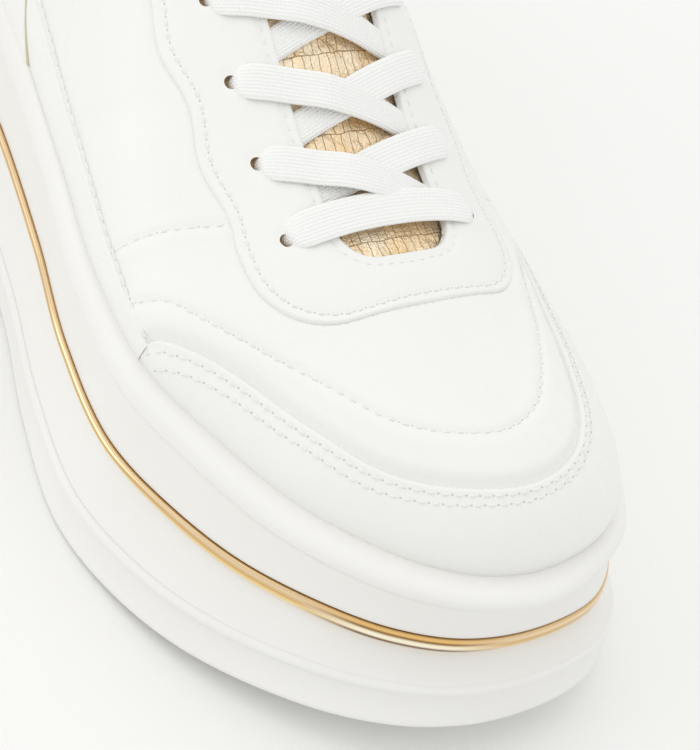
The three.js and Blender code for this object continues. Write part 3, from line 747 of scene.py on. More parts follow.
def shield_reach(x):
    """Half width of the eyestay: wavy sides that close in behind x = 150, round corners in front."""
    bend = EYESTAY_FRONT - EYESTAY_CORNER
    taper = 6.0 * smooth(150 - x, 0, 47)
    wave = -0.75 * np.cos(2 * math.pi * (x - 181) / 22.5) * smooth(x, 120, 150) * (1 - smooth(x, 190, 202))
    ahead = np.clip(x - bend, 0, EYESTAY_CORNER)
    corner = EYESTAY_CORNER - np.sqrt(EYESTAY_CORNER**2 - ahead**2)
    return EYESTAY_HALF - taper - wave - corner


def shield_edge(t):
    """Plan line of the eyestay's outer edge, the outer side first."""
    x, y = slot_edge(t, EYESTAY_FRONT, EYESTAY_HALF, EYESTAY_CORNER, EYESTAY_BACK)
    y = np.where((t < 1) | (t > 2), np.sign(y) * shield_reach(x), y)
    return np.stack([x, EYESTAY_CENTRE + trimmed(y)], axis=-1)


def collar_height(x):
    return np.interp(x, COLLAR_LINE[:, 0], COLLAR_LINE[:, 1])


def plan_line(points, spacing=0.5):
    return even(through(points), spacing=spacing)


def inside_feather(plan):
    """The part of a plan line that lies over the last."""
    _, inward = section_of(plan)
    return plan[inward > 0.002]


GUARD_PLAN = inside_feather(plan_line(GUARD_EDGE))
GUARD_LINE, _ = over(GUARD_PLAN)
TOE_LINE_PLAN = plan_line(TOE_LINE)
TOE_LINE_3D, _ = over(TOE_LINE_PLAN)
CROSS_LINE_PLAN = plan_line(CROSS_SEAM)
CROSS_LINE_3D, _ = over(CROSS_LINE_PLAN)
BRANCH_LINE_3D, _ = over(plan_line(BRANCH_SEAM))
CROSS_INNER_PLAN = CROSS_LINE_PLAN * [1, -1]
CROSS_INNER_3D, _ = over(CROSS_INNER_PLAN)


def guard_share(run):
    """Inward share at which the toe guard's edge crosses the section at that run; 0 off the guard."""
    edge_run, edge_inward = section_of(GUARD_PLAN)
    order = np.argsort(edge_run)
    return np.interp(run, edge_run[order], edge_inward[order], left=0, right=0)


def eyestay_gap(points):
    """How far a point lies inside the eyestay's outer edge, in plan; negative outside it."""
    y = points[:, 1] - EYESTAY_CENTRE
    half = shield_reach(points[:, 0])
    across = np.where(y > 0, trimmed(half), half) - np.abs(y)
    ahead = EYESTAY_FRONT - points[:, 0]
    return np.where(ahead > 0, np.minimum(across, ahead), -1.0)


def relief(points, run, inward):
    """How far the upper's leather stands off the last: beds under the toe guard and the eyestay, a
    padded ring between the toe line and the guard, a trough at each seam, a step at the rear panel,
    and soft swells and creases."""
    under_guard = inward < guard_share(run)
    guard_gap = np.where(under_guard, 0, nearest(points, GUARD_LINE))
    reach = smooth(points[:, 0], 186, 203)
    rise = points[:, 2] - foot_at(run)[:, 2]
    ring = 0.6 * smooth(guard_gap, 0.6, 3.0) * (1 - smooth(guard_gap, 6, 15))
    height = reach * (ring - 0.7 * bell(guard_gap, 1.5)) * smooth(rise, 0.5, 6)
    height = np.where(under_guard, GUARD_BED, height)
    line_gap = nearest(points, TOE_LINE_3D)
    height += np.where(under_guard, 0, 0.12 * bell(line_gap - 2.2, 1.6) - 0.32 * bell(line_gap, 0.6))
    for line in (CROSS_LINE_3D, CROSS_INNER_3D, BRANCH_LINE_3D):
        gap = nearest(points, line)
        height += 0.1 * bell(gap - 1.6, 1.2) - 0.25 * bell(gap, 0.6)
    behind = hermite([(r, x) for x, r in reversed(PIPING_RISE)], rise) - points[:, 0]
    height += REAR_PROUD * smooth(behind, -0.4, 0.5) * (1 - 0.85 * smooth(rise, 26, 44))
    height -= EYESTAY_BED * smooth(eyestay_gap(points), -1.5, 2.0)
    return height + swells(points[:, 0], points[:, 1], CREASES)


CREASES = [  # x, y, half length, half width, turn in degrees, height: troughs are negative
    (182, -37, 14, 4.0, 25, 0.35),
    (166, -38, 10, 3.0, 40, -0.25),
    (232, 4, 16, 11, 0, 0.30),
    (205, -36, 12, 3.5, 30, 0.25),
    (228, 20, 9, 1.6, 60, -0.22),
    (222, 24, 8, 1.5, 50, -0.20),
    (246, 8, 7, 1.2, 75, -0.18),
    (240, 16, 6, 1.0, 65, -0.15),
    (250.5, 9, 4.5, 0.7, 35, -0.22),
    (249, 13, 4.0, 0.6, 25, -0.2),
    (244, 19, 4.0, 0.7, 15, -0.2),
]

# ---------------------------------------------------------------- sole


def smooth_rows(rings, per_span=5):
    """Uniform Catmull-Rom through a stack of rings, ring by ring; a doubled ring makes an edge."""
    r = np.concatenate([rings[:1], rings, rings[-1:]])
    t = np.linspace(0, 1, per_span, endpoint=False)[None, :, None, None]
    p0, p1, p2, p3 = (r[i : len(r) - 3 + i][:, None] for i in range(4))
    square, cube = 2 * p0 - 5 * p1 + 4 * p2 - p3, 3 * p1 - p0 - 3 * p2 + p3
    curve = 0.5 * (2 * p1 + (p2 - p0) * t + square * t**2 + cube * t**3)
    return np.concatenate([curve.reshape(-1, *rings.shape[1:]), rings[-1:]])


def band(low, high, bulge, count):
    """Rings from low to high, straight but for a bulge inwards of bulge sin(pi t)."""
    t = np.linspace(0, 1, count)[:, None, None]
    inwards = np.column_stack([-SOLE_NORMAL, np.zeros(len(SOLE_NORMAL))])
    return low + (high - low) * t + bulge * np.sin(math.pi * t) * inwards


def tread_height(x):
    """Arch of 1.6 mm under the waist and a small heel bevel, as on the frame's outsole."""
    arch = 1.6 * smooth(x, 88, 104) * (1 - smooth(x, 124, 140))
    return arch + 2 * np.clip((12 - x) / 12, 0, 1) ** 2


def make_outsole():
    """Wall from the floor, round its lower edge, to the rounded bead at its top."""
    corner = []
    for angle in np.radians([0, 22.5, 45, 67.5, 90]):
        inward, up = EDGE_ROUND * (1 - math.sin(angle)), EDGE_ROUND * (1 - math.cos(angle))
        ring = level_ring(FLOOR, inward, up)
        ring[:, 2] += tread_height(ring[:, 0])
        corner.append(ring)
    start = (1.25, -1.9)
    bead = [start, (0.75, -1.5), (0.1, -0.7), (0.1, 0.35), (0.75, 1.1), (1.7, 1.35), (3.5, 1.3)]
    wall = band(corner[-1], level_ring(BEAD, *start), 0.35, 12)
    top = smooth_rows(np.array([level_ring(BEAD, inward, up) for inward, up in bead]))
    rings = np.concatenate([np.array(corner), wall[1:-1], top])
    add_grid("outsole_wall", rings, SOLE, "white_rubber", 25.0, ("outsole",), ROUND)


TREAD = dict(pitch=13.0, width=4.0, depth=2.0, margin=9.0)
TREAD_ZONES = [(22, 82), (148, 204)]


def make_tread():
    """Bottom face: lines from the outer to the inner edge, sunk at the cross grooves."""
    edge = level_ring(FLOOR, EDGE_ROUND)
    half = SOLE_COUNT // 2
    outer = edge[1:half]
    inner = edge[: half : -1][: half - 1]
    share = np.linspace(0, 1, 71)[None, :, None]
    points = outer[:, None] + (inner - outer)[:, None] * share
    x, y = points[..., 0], points[..., 1]
    z = tread_height(x) + lift(x, 0, FLOOR["spring"])
    margin = np.minimum(*(np.linalg.norm(points - side[:, None], axis=-1) for side in (outer, inner)))
    reach = smooth(margin, TREAD["margin"] - 1, TREAD["margin"])
    for start, end in TREAD_ZONES:
        for groove in np.arange(start, end + 1, TREAD["pitch"]):
            off = np.abs(x - groove - 1.2 * np.sin(y / 4.5)) - TREAD["width"] / 2
            z = z + TREAD["depth"] * (1 - smooth(off, -0.5, 0.3)) * reach
    z = z + 0.03 * smooth(margin, 0, 3)
    add_grid("outsole_tread", np.stack([x, y, z], axis=-1), SOLE, "white_rubber", 25.0)


def make_midsole():
    """Two slightly hollow bands with the strip's channel between them."""
    deep, shallow = STRIP_DEPTH + 0.3, STRIP_PROUD + 0.3
    foot = level_ring(BEAD, 1.8, OUTSOLE_TOP - 0.5)
    start = level_ring(BEAD, 0.8, OUTSOLE_TOP - 0.35)
    below, above = strip_ring(STRIP_PROUD, -1, -0.45), strip_ring(STRIP_PROUD, 1, 0.45)
    low = [strip_ring(shallow, -1, -0.1), strip_ring(deep, -1, -0.1)]
    high = [strip_ring(deep, 1, 0.1), strip_ring(shallow, 1, 0.1)]
    top = band(above, level_ring(GROOVE, 0.55, -1.0), 0.35, 14)
    groove = [level_ring(GROOVE, 0.8, -0.45), level_ring(GROOVE, 1.5, -0.2), level_ring(GROOVE, 4, -0.1)]
    rings = np.concatenate([[foot], band(start, below, 0.6, 18), low, high, top, groove])
    add_grid("midsole_wall", rings, SOLE, "white_rubber", 25.0, ("midsole",), ROUND)


def make_strip():
    """Half-round strip: out by proud cos(a), up by half its height times sin(a)."""
    rings = [strip_ring(STRIP_DEPTH, -1)]
    for angle in np.linspace(-math.pi / 2, math.pi / 2, 25):
        rings.append(strip_ring(STRIP_PROUD * (1 - math.cos(angle)) ** 0.9, math.sin(angle)))
    rings.append(strip_ring(STRIP_DEPTH, 1))
    # UV: place round the sole and height on the strip, which place the painted reflection of the gold.
    up = np.concatenate([[0], np.linspace(0, 1, 25), [1]])[:, None]
    uv = np.stack(np.broadcast_arrays(np.arange(SOLE_COUNT)[None, :] / SOLE_COUNT, up), axis=-1)
    stands_for, loop = ("trim_strip",), (True, True)
    add_grid("gold_strip", np.array(rings), GOLD, "gold_trim", 25.0, stands_for, loop, uv=uv, solid=True)


LIP = [  # share of the way from the groove to the feather, inward, share of the height, extra height
    (0, 1.6, 0, 0.15),
    (0, 0.5, 0, 0.1),
    (0, -0.3, 0.06, 0.1),
    (0, -0.65, 0.35, 0.1),
    (0, -0.5, 0.7, 0.15),
    (0.16, -0.25, 0.95, 0.45),
    (0.42, 0, 1, 0.8),
    (0.76, 0, 1, 0.8),
    (1, 0.15, 1, 0.6),
    (1, 0.9, 1, 0.2),
    (1, 1.8, 1, -1.8),
]


def lip_ring(share, inward, height, extra):
    points = level_ring({**mixed(GROOVE, FEATHER, share), **GROOVE_HEIGHT}, inward)
    x = points[:, 0]
    rise = FEATHER["z"] - GROOVE["z"] + lift(x, FEATHER["wedge"]) - lift(x, GROOVE["wedge"])
    points[:, 2] += height * rise + extra
    return points


def make_lip():
    """Rounded lip of the cup sole, from the parting groove out and over to the feather line."""
    rings = smooth_rows(np.array([lip_ring(*row) for row in LIP]), 6)
    add_grid("cup_lip", rings, SOLE, "white_rubber", 20.0, ("sole_lip",), ROUND)


def make_insole():
    """Sock inside: dished 1.3 mm across."""
    edge = level_ring({**FEATHER, **GROOVE_HEIGHT}, WALL + 0.4, 4.2)
    half = SOLE_COUNT // 2
    outer = edge[0 : half + 1 : 3]
    inner = np.roll(edge[::-1], 1, axis=0)[0 : half + 1 : 3]
    t = np.linspace(0, 1, 41)[None, :, None]
    points = outer[:, None] + (inner - outer)[:, None] * t
    points[..., 2] -= 1.3 * np.sin(math.pi * t[..., 0]) ** 0.6
    add_grid("sock", points, LINING, "lining", 0.0, ("insole",))


# ---------------------------------------------------------------- upper


def column_runs():
    """Runs along the feather line, close together at the toe, with each inner column at the x of an
    outer one so that the two halves meet on the ridge."""
    run = np.linspace(0, TIP_RUN, 3000)
    x = foot_at(run)[:, 0]
    spacing = 2.2 - 1.45 * smooth(x, 95, 135)
    number = np.r_[0, np.cumsum(np.diff(run) / spacing[1:])]
    outer = np.interp(np.linspace(0, number[-1], int(number[-1])), number, run)
    inner = run_at_x(foot_at(outer[1:-1])[:, 0], 1)[::-1]
    return np.concatenate([outer, inner])


NOSE_START, NOSE_LENGTH = 196.0, 19.0


def top_share(run):
    """Row number at which each section is cut: at the collar behind, beside the throat in the middle
    with a blunt nose under the eyestay, and nowhere in front, where it runs to the ridge."""
    q = np.linspace(0, 1, 500)
    grid = last_point(foot_at(run)[:, None, :], spread(q)[None, :])
    x, y, z = grid[..., 0], grid[..., 1], grid[..., 2]
    over_collar = (z > collar_height(x)) & (x < COLLAR[-1][0])
    nose = np.clip((x - NOSE_START) / NOSE_LENGTH, 0, 1)
    reach = (THROAT["half"] + 0.8) * np.sqrt(1 - nose**2)
    in_throat = (np.abs(y - THROAT["centre"]) < reach) & (x > 80)
    cut = over_collar | in_throat
    first = np.where(cut.any(1), cut.argmax(1), len(q) - 1)
    return q[first]


def soften_ridge(base):
    """Evens out the crease along the front of the ridge, where the sections run together: each height
    goes to the mean of fourteen round it, 2.5 and 5 mm away, and itself."""
    x, y = base[..., 0], base[..., 1]
    share = smooth(x, 204, 213) * (1 - smooth(x, 237, 243))
    share = share * (1 - smooth(np.abs(y - hermite(RIDGE_Y, x)), 4, 11))
    near = share > 0.01
    here = base[near]
    total = here[:, 2].copy()
    for radius, count in ((2.5, 6), (5.0, 8)):
        for turn in np.linspace(0, 2 * math.pi, count, endpoint=False):
            total += on_last(here[:, :2] + radius * np.array([math.cos(turn), math.sin(turn)]))[0][:, 2]
    base = base.copy()
    base[near, 2] += share[near] * (total / 15 - here[:, 2])
    return base


UPPER_ROWS = 104


def make_upper():
    """Outer skin of the upper, from the feather line to the collar, the throat or the ridge."""
    run = column_runs()
    top = top_share(run)
    inward = spread(top[:, None] * np.linspace(0, 1, UPPER_ROWS)[None, :])
    base = soften_ridge(last_point(foot_at(run)[:, None, :], inward))
    normal = grid_normals(base, around=True)
    normal *= np.sign(normal[..., 2].mean())
    height = relief(base.reshape(-1, 3), np.repeat(run, UPPER_ROWS), inward.ravel())
    points = base + normal * height.reshape(inward.shape)[..., None]
    loop = (True, False)
    add_grid("upper_skin", points, LEATHER, "white_leather", 45.0, ("upper",), loop, weld=True)
    return run, top


def make_collar_and_lining(run, top):
    """Padded collar roll, half a turn of up to 3.2 mm radius, then the lining down inside the wall."""
    back = foot_at(run)[:, 0] < 118
    order = np.where(back)[0]
    middle = len(run) // 2
    order = np.concatenate([order[order > middle], order[order <= middle]])
    foot = foot_at(run[order])
    q = np.linspace(0, 1, 40)[None, :] * top[order][:, None]
    skin = last_point(foot[:, None, :], spread(q))
    normal = grid_normals(skin)
    normal *= np.sign((normal * (skin - [0, 0, 60]))[..., :2].sum())
    radius = 2.3 * smooth(118 - foot[:, 0], 0, 18) + 0.9
    out = normal[:, -1]
    up = unit(skin[:, -1] - skin[:, -3])
    centre = skin[:, -1] - out * radius[:, None]
    roll = centre[:, None] + circle(out, up, np.linspace(0, math.pi, 13)) * radius[:, None, None]
    leather = np.concatenate([skin[:, -2:-1], roll[:, :8]], axis=1)
    add_grid("collar_roll", leather, LEATHER, "white_leather", 100.0)
    depth = np.interp(np.linspace(0, 1, 40), [0, 0.6, 1], [1, 1.1, 1])
    inside = skin[:, ::-1] - normal[:, ::-1] * (2 * radius[:, None] * depth[None, :])[..., None]
    lining = np.concatenate([roll[:, 7:], inside[:, 1:]], axis=1)
    add_grid("lining", lining, LINING, "lining", 60.0, inwards=True)


def tapered_face(gap, rise, thickness, sunk):
    """Height over the last of an overlay's face, gap in from its rolled edge and rise above the
    feather line: the first stitch row pulls it down a little, and it thins out to the feather."""
    roll = np.sqrt(np.clip(1 - (1 - np.minimum(gap / 0.55, 1)) ** 2, 0, 1))
    face = thickness * (roll - 0.22 * bell(gap - 1.9, 1.3)) - sunk
    taper = smooth(rise, -5, 8)
    return face * taper - sunk * (1 - taper)


def overlay_from_feather(name, plan_edge, thickness, sunk, rows_in, stands_for=(), creases=()):
    """A leather overlay from the feather line up to an edge: each column follows the section through
    one edge point, rows close up to the rolled edge, and the edge turns down to the base."""
    run, inward = section_of(plan_edge)
    q_edge = unspread(np.clip(inward, 0, 1))
    foot = foot_at(run)
    length = np.linalg.norm(last_point(foot, inward) - foot, axis=1)[:, None]
    from_edge = np.array([0.0, 0.12, 0.3, 0.55, 0.9, 1.3, 1.8, 2.3, 2.8, 3.4, 4.2])
    near = np.minimum(from_edge[None, :] / np.maximum(length, 0.5), 0.98)
    rest = np.linspace(0, 1, rows_in)[None, 1:]
    share = np.concatenate([near, near[:, -1:] + (1 - near[:, -1:]) * rest], axis=1)
    base = last_point(foot[:, None, :], spread(q_edge[:, None] * (1 - share)))
    normal = grid_normals(base)
    normal *= np.sign(normal[..., 2].sum())
    gap = share * length
    height = tapered_face(gap, length - gap, thickness, sunk) + swells(base[..., 0], base[..., 1], creases)
    edge_foot = base[:, :1] - normal[:, :1] * 1.4
    points = np.concatenate([edge_foot, base + normal * height[..., None]], axis=1)
    add_grid(name, points, LEATHER, "white_leather", 35.0, stands_for)


GUARD_WRINKLES = [  # as CREASES
    (259, 10, 4.5, 0.7, 20, -0.24),
    (257.5, 14, 5.0, 0.8, 30, -0.28),
    (255, 18, 4.5, 0.7, 35, -0.22),
    (252, 22, 5.0, 0.9, 45, -0.24),
    (256, 12, 6.0, 2.0, 25, 0.12),
    (240, 30, 5.0, 0.9, 60, -0.12),
    (261, 1, 5.0, 0.6, 25, -0.18),
    (264, 6, 4.0, 0.5, 30, -0.16),
    (252.5, 15.5, 3.0, 0.5, 80, -0.2),
    (215, -44, 6.0, 1.2, -60, -0.12),
    (262, -4, 5.0, 1.0, 5, -0.10),
]


def plan_at_rise(side, x, rise):
    """Plan points of the last at x on one side, at a height over the feather line."""
    foot = foot_at(run_at_x(x, side))
    q = np.linspace(0, 0.8, 1600)
    grid = last_point(foot[:, None, :], spread(q)[None, :])
    first = (grid[..., 2] > (foot[:, 2] + rise)[:, None]).argmax(1)
    return grid[np.arange(len(x)), first][:, :2]


def side_seam_plan(side, start, end):
    """Plan line at the side panel's top."""
    x = np.linspace(start, end, 220)
    return plan_at_rise(side, x, hermite(SIDE_SEAM_HEIGHT, x))


# ---------------------------------------------------------------- eyestay


def throat_to_edge(t):
    """Plan lines of the eyestay's two edges, and how far apart they are."""
    inner, outer = throat_edge(t), shield_edge(t)
    return inner, outer, np.linalg.norm(outer - inner, axis=1)[:, None]


def make_eyestay():
    """Shield overlay: plan runs straight from the throat edge to the outer edge, draped on the last
    at its thickness, both edges rolled, stitch rows sunk, with the eyelets punched out."""
    t = np.concatenate([np.linspace(0, 1, 210), np.linspace(1, 2, 190)[1:], np.linspace(2, 3, 210)[1:]])
    inner, outer, reach = throat_to_edge(t)
    near = np.array([0.0, 0.12, 0.3, 0.55, 0.9, 1.3, 1.7, 2.1, 2.6])
    middle = np.linspace(0, 1, 38)[1:-1]
    low = near[None, :] / reach
    high = 1 - low[:, ::-1]
    across = low[:, -1:] + (high[:, :1] - low[:, -1:]) * middle[None, :]
    share = np.concatenate([low, across, high], axis=1)
    plan = inner[:, None] + (outer - inner)[:, None] * share[..., None]
    base, normal = over(plan)
    from_throat, from_edge = share * reach, (1 - share) * reach
    rolled = np.minimum(np.minimum(from_throat, from_edge) / 0.6, 1)
    height = EYESTAY_THICK * np.sqrt(np.clip(1 - (1 - rolled) ** 2, 0, 1)) - EYESTAY_BED
    height += 0.22 * smooth(from_edge, 2.5, 7) * smooth(from_throat, 1, 5)
    height -= 0.2 * bell(from_edge - 2.1, 0.7) + 0.15 * bell(from_throat - 2.2, 0.7)
    skirt_in = base[:, :1] - normal[:, :1] * EYESTAY_BED
    skirt_out = base[:, -1:] - normal[:, -1:] * (EYESTAY_BED + 0.6)
    points = np.concatenate([skirt_in, base + normal * height[..., None], skirt_out], axis=1)
    faces = grid_faces(*points.shape[:2])
    flat, faces = punch_eyelets(points.reshape(-1, 3), faces)
    faces = face_outwards(flat, faces, 30.0)
    add_piece("eyestay_shield", flat, faces, LEATHER, "white_leather", ("eyestay",))


def eyelets():
    """Centre on the last and unit normal of each eyelet."""
    for row in range(EYELETS["rows"]):
        for side in (-1, 1):
            centre, normal = over(eyelet_plan(row, side)[None, :])
            yield centre[0], normal[0]


def punch_eyelets(points, faces):
    """Cuts round holes: vertices just inside a hole move out to its rim, which is pressed down a
    little, and faces wholly inside go."""
    inside = np.zeros(len(points), bool)
    radius = EYELETS["radius"]
    for foot, normal in eyelets():
        centre = foot + normal * EYESTAY_FACE
        away = points - centre
        away -= (away @ normal)[:, None] * normal
        distance = np.linalg.norm(away, axis=1)
        hit = (distance < radius) & (np.linalg.norm(points - centre, axis=1) < 4)
        inside |= hit
        stretch = np.where(hit, radius / np.maximum(distance, 0.05) - 1, 0)
        points = points + away * stretch[:, None]
        rim = bell(distance - radius, 0.9) * (np.linalg.norm(points - centre, axis=1) < 5)
        points = points - normal * (0.22 * rim)[:, None]
    return points, faces[~inside[faces].all(1)]


def make_eyelet_walls():
    """Dark punched edge inside each eyelet: a short tube down from the rim, closed below."""
    turns = np.linspace(0, 2 * math.pi, 24, endpoint=False)
    depth = np.array([EYESTAY_FACE - 0.1, 0.0, -0.4, -0.78, -0.78])[:, None, None]
    radius = np.array([1.02, 1.0, 1.0, 0.95, 0.02])[:, None, None] * EYELETS["radius"]
    shapes = []
    for centre, normal in eyelets():
        first = unit(np.cross(normal, [0, 1, 0]))
        shapes.append(centre + normal * depth + circle(first, np.cross(normal, first), turns) * radius)
    one = grid_faces(len(depth), len(turns), close_columns=True)
    faces = join_copies(len(depth) * len(turns), one, len(shapes))
    add_piece("eyelet_walls", np.concatenate(shapes).reshape(-1, 3), faces, HOLE, "white_leather")


# ---------------------------------------------------------------- tongue

TONGUE = dict(front=216.0, back=94.0, leaves=113.0, half_front=18.5, half_back=27.5, drop=2.05)


def tongue_surface(x, y):
    """Height of the tongue's top face before its drop: the last, and behind x = leaves a straight
    run on in the same slope, flatter across."""
    plan = np.stack([np.maximum(x, TONGUE["leaves"]), y], axis=-1)
    point, _ = over(plan)
    centre = hermite(RIDGE_Y, np.array(TONGUE["leaves"]))
    ends, _ = over(np.array([[TONGUE["leaves"], centre], [TONGUE["leaves"] + 4, centre]]))
    crest, slope = ends[0, 2], (ends[0, 2] - ends[1, 2]) / 4
    beyond = np.maximum(TONGUE["leaves"] - x, 0)
    sag = crest - point[..., 2]
    free = crest + slope * beyond - sag * (1 - 0.5 * np.clip(beyond / 16, 0, 1))
    return np.where(beyond > 0, free, point[..., 2])


def scale_emboss(x, y):
    """Soft wavy cross creases about 7.6 mm apart and a low ripple across; the fine scales between
    them are in the leather itself."""
    wavy = x + 1.6 * np.sin(y / 3.4 + x / 11) + 0.8 * np.sin(y / 1.3 + 2)
    row = wavy / 7.6
    across = row - np.floor(row)
    crease = bell(np.minimum(across, 1 - across) * 7.6, 0.55)
    return 0.12 + 0.07 * np.sin(y / 0.95 + np.floor(row)) - 0.28 * crease


def make_tongue():
    """Padded tongue: lens across, embossed on top, cloth beneath."""
    stations = np.linspace(0, 1, 250)
    s = np.linspace(-1, 1, 111)[None, :]
    x0 = TONGUE["front"] + (TONGUE["back"] - TONGUE["front"]) * stations
    half = TONGUE["half_front"] + (TONGUE["half_back"] - TONGUE["half_front"]) * smooth(stations, 0, 1)
    rounded = 7 * smooth(-x0, -(TONGUE["back"] + 20), -TONGUE["back"])
    x = x0[:, None] + rounded[:, None] * s**4
    y = hermite(RIDGE_Y, x0)[:, None] + s * half[:, None]
    skin = np.stack([x, y, tongue_surface(x, y)], axis=-1)
    normal = grid_normals(skin)
    normal *= np.sign(normal[..., 2].sum())
    edge = np.clip(1 - np.abs(s) ** 6, 0, 1) * smooth(x0 - TONGUE["back"], 0, 3)[:, None] ** 0.5
    puff = 0.5 * np.clip(1 - s**2, 0, 1)
    drop = TONGUE["drop"] + 0.65 * smooth(stations, 0.6, 1)[:, None]
    thick = 2.6 + 2.0 * smooth(stations, 0.3, 0.8)[:, None]
    top = skin - normal * (drop + 0.9 * (1 - edge) - puff - scale_emboss(x, y) * edge)[..., None]
    bottom = skin - normal * (drop + 1.0 + (thick - 1.0) * edge)[..., None]
    uv = np.stack([y, x], axis=-1)
    add_grid("tongue_face", top, TONGUE_SKIN, "gold_leather", 30.0, ("tongue",), uv=uv)
    loop = np.concatenate([top[:, :1], bottom[:, ::3], bottom[:, -1:], top[:, -1:]], axis=1)[::3]
    add_grid("tongue_back", loop, LINING, "lining", 30.0, inwards=True)
    end = np.stack([top[-1], bottom[-1]], axis=0)
    faces = grid_faces(*end.shape[:2])
    add_piece("tongue_end", end.reshape(-1, 3), faces, TONGUE_SKIN, "gold_leather", uv=end[..., 1::-1])


# ---------------------------------------------------------------- laces

LACE_WIDTH, LACE_THICK, ROOT_WIDTH = 7.1, 1.25, 3.3
LACE_RIBS = 10


def ribbon(name, centre, normal, width, curl, stands_for=()):
    """A flat lace along centre: section a flat bar with round edges, ribbed lengthwise on its face,
    its edges turned down by curl, thicker where it is folded narrow. Its UV is in millimetres."""
    thickness = LACE_THICK + 0.85 * (LACE_WIDTH - width) / (LACE_WIDTH - ROOT_WIDTH)
    along = unit(np.gradient(centre, axis=0))
    normal = unit(normal - (normal * along).sum(1, keepdims=True) * along)
    side = np.cross(along, normal)
    s = np.linspace(-1, 1, 61)
    face = 0.65 * s + 0.35 * np.sin(math.pi / 2 * s)
    under = np.sin(math.pi / 2 * np.linspace(1, -1, 19))[1:-1]
    across = np.concatenate([face, under])
    up = np.sqrt(np.clip(1 - np.abs(across) ** 5, 0, 1)) * np.r_[np.ones(len(face)), -np.ones(len(under))]
    ribs = 0.08 * np.cos(math.pi * LACE_RIBS * across) * np.clip(up, 0, 1)
    rise = up * thickness[:, None] / 2 + ribs[None, :] * (width[:, None] / LACE_WIDTH)
    rise = rise - curl[:, None] * across[None, :] ** 2
    points = centre[:, None] + side[:, None] * (across[None, :] * width[:, None] / 2)[..., None]
    points = points + normal[:, None] * rise[..., None]
    uv = np.stack(np.broadcast_arrays(run_along(centre)[:, None], across * LACE_WIDTH / 2), axis=-1)
    add_grid(name, points, COTTON, "cotton", 0.0, stands_for, (False, True), uv=uv, solid=True)


def lace_run(plan, heights, count):
    """Centre line over plan points (x, y) at heights above the last, smoothed and evenly spaced, with
    its normals and the length along it."""
    point, normal = over(np.array(plan, float))
    rough = np.concatenate([point + normal * np.array(heights, float)[:, None], normal], axis=1)
    curve = through(rough, 20)
    run = run_along(curve[:, :3])
    at = np.linspace(0, run[-1], count)
    curve = at_run(at, run, curve)
    return curve[:, :3], unit(curve[:, 3:]), at


def hole_shape(at):
    """Width and curl along a lace that comes out of an eyelet at its start: narrow and folded in the
    hole, at full width after 7.4 mm."""
    open_up = smooth(at, 1.2, 7.4)
    return ROOT_WIDTH + (LACE_WIDTH - ROOT_WIDTH) * np.sqrt(open_up), 1 - open_up


LACE_TOP = EYESTAY_FACE + LACE_THICK / 2 + 0.2
TUCK = -0.95
UNDER_LAY = [-7.3, -4.2, -4.2, -4.2, -4.2]  # where the lower lace of each row meets the far edge


def make_crossing(row):
    """Two laces from eyelets of the next row down and across, each under the far throat edge. The
    one from the inner eyelet lies below."""
    for side, cross, root, past, name in (
        (1, 0.0, -0.9, UNDER_LAY[row], "inner"),
        (-1, 1.3, 0.3, -3.0, "outer"),
    ):
        start = eyelet_plan(row + 1, side)
        end_x = EYELETS["first"] - row * EYELETS["pitch"] + past
        far = np.array([end_x, THROAT["centre"] - side * THROAT["half"]])
        way = unit(far - start)
        reach = np.linalg.norm(far - start)
        middle = LACE_TOP * 0.4 + cross
        stops = [  # distance from the eyelet, height over the last
            (root, -3.2),
            (root + 0.3, -1.2),
            (root + 1.2, 0.7),
            (3.4, LACE_TOP),
            (7.0, LACE_TOP + 0.05),
            (11.5, LACE_TOP),
            (reach * 0.47, middle + 0.4),
            (reach * 0.62, middle),
            (reach * 0.8, cross * 0.5 - 0.2),
            (reach - 1.5, -0.75),
            (reach + 2.5, TUCK),
            (reach + 7, TUCK),
        ]
        centre, normal, at = lace_run([start + way * p for p, _ in stops], [h for _, h in stops], 104)
        width, curl = hole_shape(at)
        width = width - 0.9 * smooth(at / at[-1], 0.45, 0.8)
        stands_for = (f"lace_crossing_{row + 1}",) if side < 0 else ()
        ribbon(f"lace_{row + 1}_{name}", centre, normal, width, curl, stands_for)


def make_bar():
    """The straight lace across the bottom, out of one first eyelet and into the other."""
    a, b = eyelet_plan(0, -1), eyelet_plan(0, 1)
    way = unit(b - a)
    reach = np.linalg.norm(b - a)
    places = [0.3, 0.6, 1.5, 3.4, 8.0, 14, 22]
    places = places + [reach - p + 1.0 * (p < 2) for p in reversed(places[:-1])]
    half = [-3.2, -1.2, 0.7, LACE_TOP, LACE_TOP + 0.1, LACE_TOP, LACE_TOP - 0.1]
    heights = half + half[:-1][::-1]
    plan = [a + way * p + np.array([-1.2 * math.sin(math.pi * p / reach) - 0.4, 0]) for p in places]
    centre, normal, at = lace_run(plan, heights, 130)
    ribbon("lace_bar_run", centre, normal, *hole_shape(np.minimum(at, at[-1] - at)), ("lace_bar",))


# ---------------------------------------------------------------- stitches and piping


STITCH_SHARE = 0.66  # of the pitch that shows as thread


